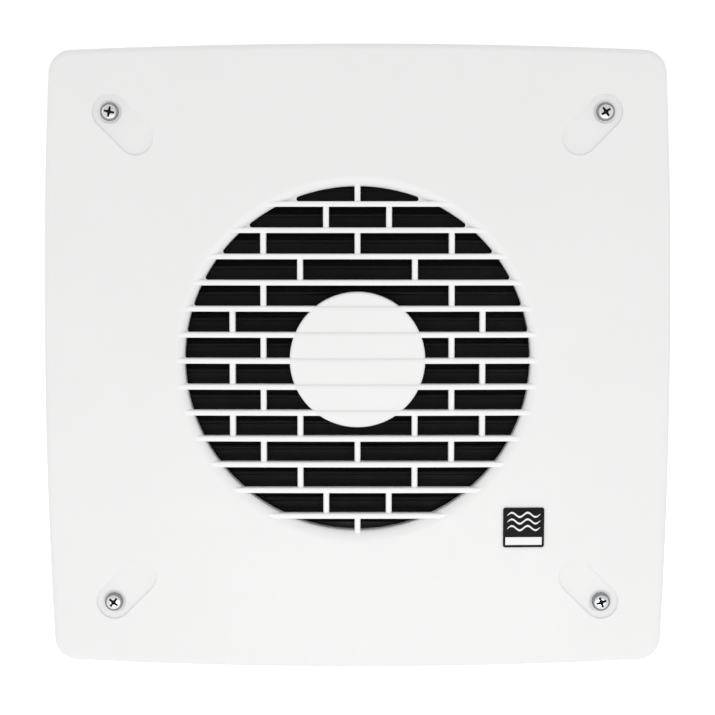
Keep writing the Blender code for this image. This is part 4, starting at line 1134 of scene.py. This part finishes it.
def dress_all():
    dress(BLACK, "shutter_frame", "link_bar")
    dress(GREY, "control_box", "control_lid", "actuator_body", "filter_frame_inner", "filter_frame_outer")
    dress(ZINC, *[f"clamp_screw_{corner}" for corner in CORNERS])
    dress(TURNED, "bearing_front", "bearing_back", "motor_shaft", "shaft_clip")
    dress(MOTOR, "rotor_can")
    dress(LAMINATED, "stator")
    dress(BRASS, "actuator_plunger")
    dress(RUBBER, "duct_seal", "motor_lead")
    dress(FOAM, "core_sleeve")
    dress(CERAMIC, "heat_core")
    dress(MEDIA, "filter_pad_inner", "filter_pad_outer")
    dress(BOARD, "motor_board", "control_board")
    dress(TERMINAL, "terminal_block")


room_cover()
grille()
disc()
screws()
badge()
shutter()
base_frame()
wall_parts()
fan_shroud()
impeller()
duct()
outer_frame()
insect_screen()
weather_louvre()
dress_all()


# ---- studio

FLOOR_LEVEL = -0.45
# Lamps that face the origin: name, place, width, height and watts.
LAMPS = (
    ("key", (0.03, -0.75, -0.3), 0.5, 0.2, 0.85),
    ("left", (-1.5, -0.5, 0.4), 1.2, 1.2, 1.5),
    ("right", (1.5, -0.5, 0.4), 1.2, 1.2, 1.5),
    ("top", (0, 0.4, 1.8), 1.4, 1.4, 2),
    ("back", (-0.8, 2.0, 0.9), 1.4, 1.4, 8),
)
# The camera looks at the front of the cover, from a little above level.
LENS, AIM_HEIGHT, DISTANCE = 105.78, 1.13 * MM, 0.9
RAISED = math.radians(4.62)


def aimed(obj, place, heading):
    """A lamp or the camera at a place, looking along a heading."""
    obj.location = place
    obj.rotation_mode = "QUATERNION"
    obj.rotation_quaternion = heading.to_track_quat("-Z", "Y")
    return obj


def world():
    """White where the camera sees it, and a softer light on the object."""
    made = bpy.data.worlds.new("studio")
    bpy.context.scene.world = made
    made.use_nodes = True
    tree = made.node_tree
    seen, output = tree.nodes["Background"], tree.nodes["World Output"]
    unseen = tree.nodes.new("ShaderNodeBackground")
    for background, strength in ((seen, 1.05), (unseen, 0.76)):
        background.inputs["Color"].default_value = (1, 1, 1, 1)
        background.inputs["Strength"].default_value = strength
    path, mix = tree.nodes.new("ShaderNodeLightPath"), tree.nodes.new("ShaderNodeMixShader")
    tree.links.new(path.outputs["Is Camera Ray"], mix.inputs["Fac"])
    tree.links.new(unseen.outputs["Background"], mix.inputs[1])
    tree.links.new(seen.outputs["Background"], mix.inputs[2])
    tree.links.new(mix.outputs["Shader"], output.inputs["Surface"])


def studio():
    """The floor, which also looks white to the camera, and the lamps."""
    bpy.context.scene.view_settings.view_transform = "Standard"
    world()
    shape = bmesh.new()
    bmesh.ops.create_circle(shape, cap_ends=True, segments=96, radius=30)
    floor = to_object("floor", shape)
    floor.location.z = FLOOR_LEVEL
    n = Nodes("pale_floor")
    n.colour(n.ramp(n.noise(0.9, 3), (0.3, (0.9, 0.9, 0.9)), (0.7, (0.92, 0.92, 0.92))))
    n.fixed("Roughness", 0.9)
    n.fixed("Emission Color", (1, 1, 1, 1))
    seen = n.add("LightPath").outputs["Is Camera Ray"]
    n.wire(n.spread(seen, 0.15, 0.7, 0, 1), n.surface.inputs["Emission Strength"])
    floor.data.materials.append(n.material)
    for name, place, width, height, watts in LAMPS:
        data = bpy.data.lights.new(name, "AREA")
        data.shape = "RECTANGLE"
        data.size, data.size_y = width, height
        data.energy = watts
        aimed(link(name, data), place, -Vector(place))


def camera():
    data = bpy.data.cameras.new("camera")
    data.lens, data.sensor_width = LENS, 36
    data.clip_start, data.clip_end = 0.01, 100
    back = Vector((0, -math.cos(RAISED), math.sin(RAISED)))
    place = Vector((0, COVER_FRONT, AIM_HEIGHT)) + back * DISTANCE
    bpy.context.scene.camera = aimed(link("camera", data), place, -back)


studio()
camera()
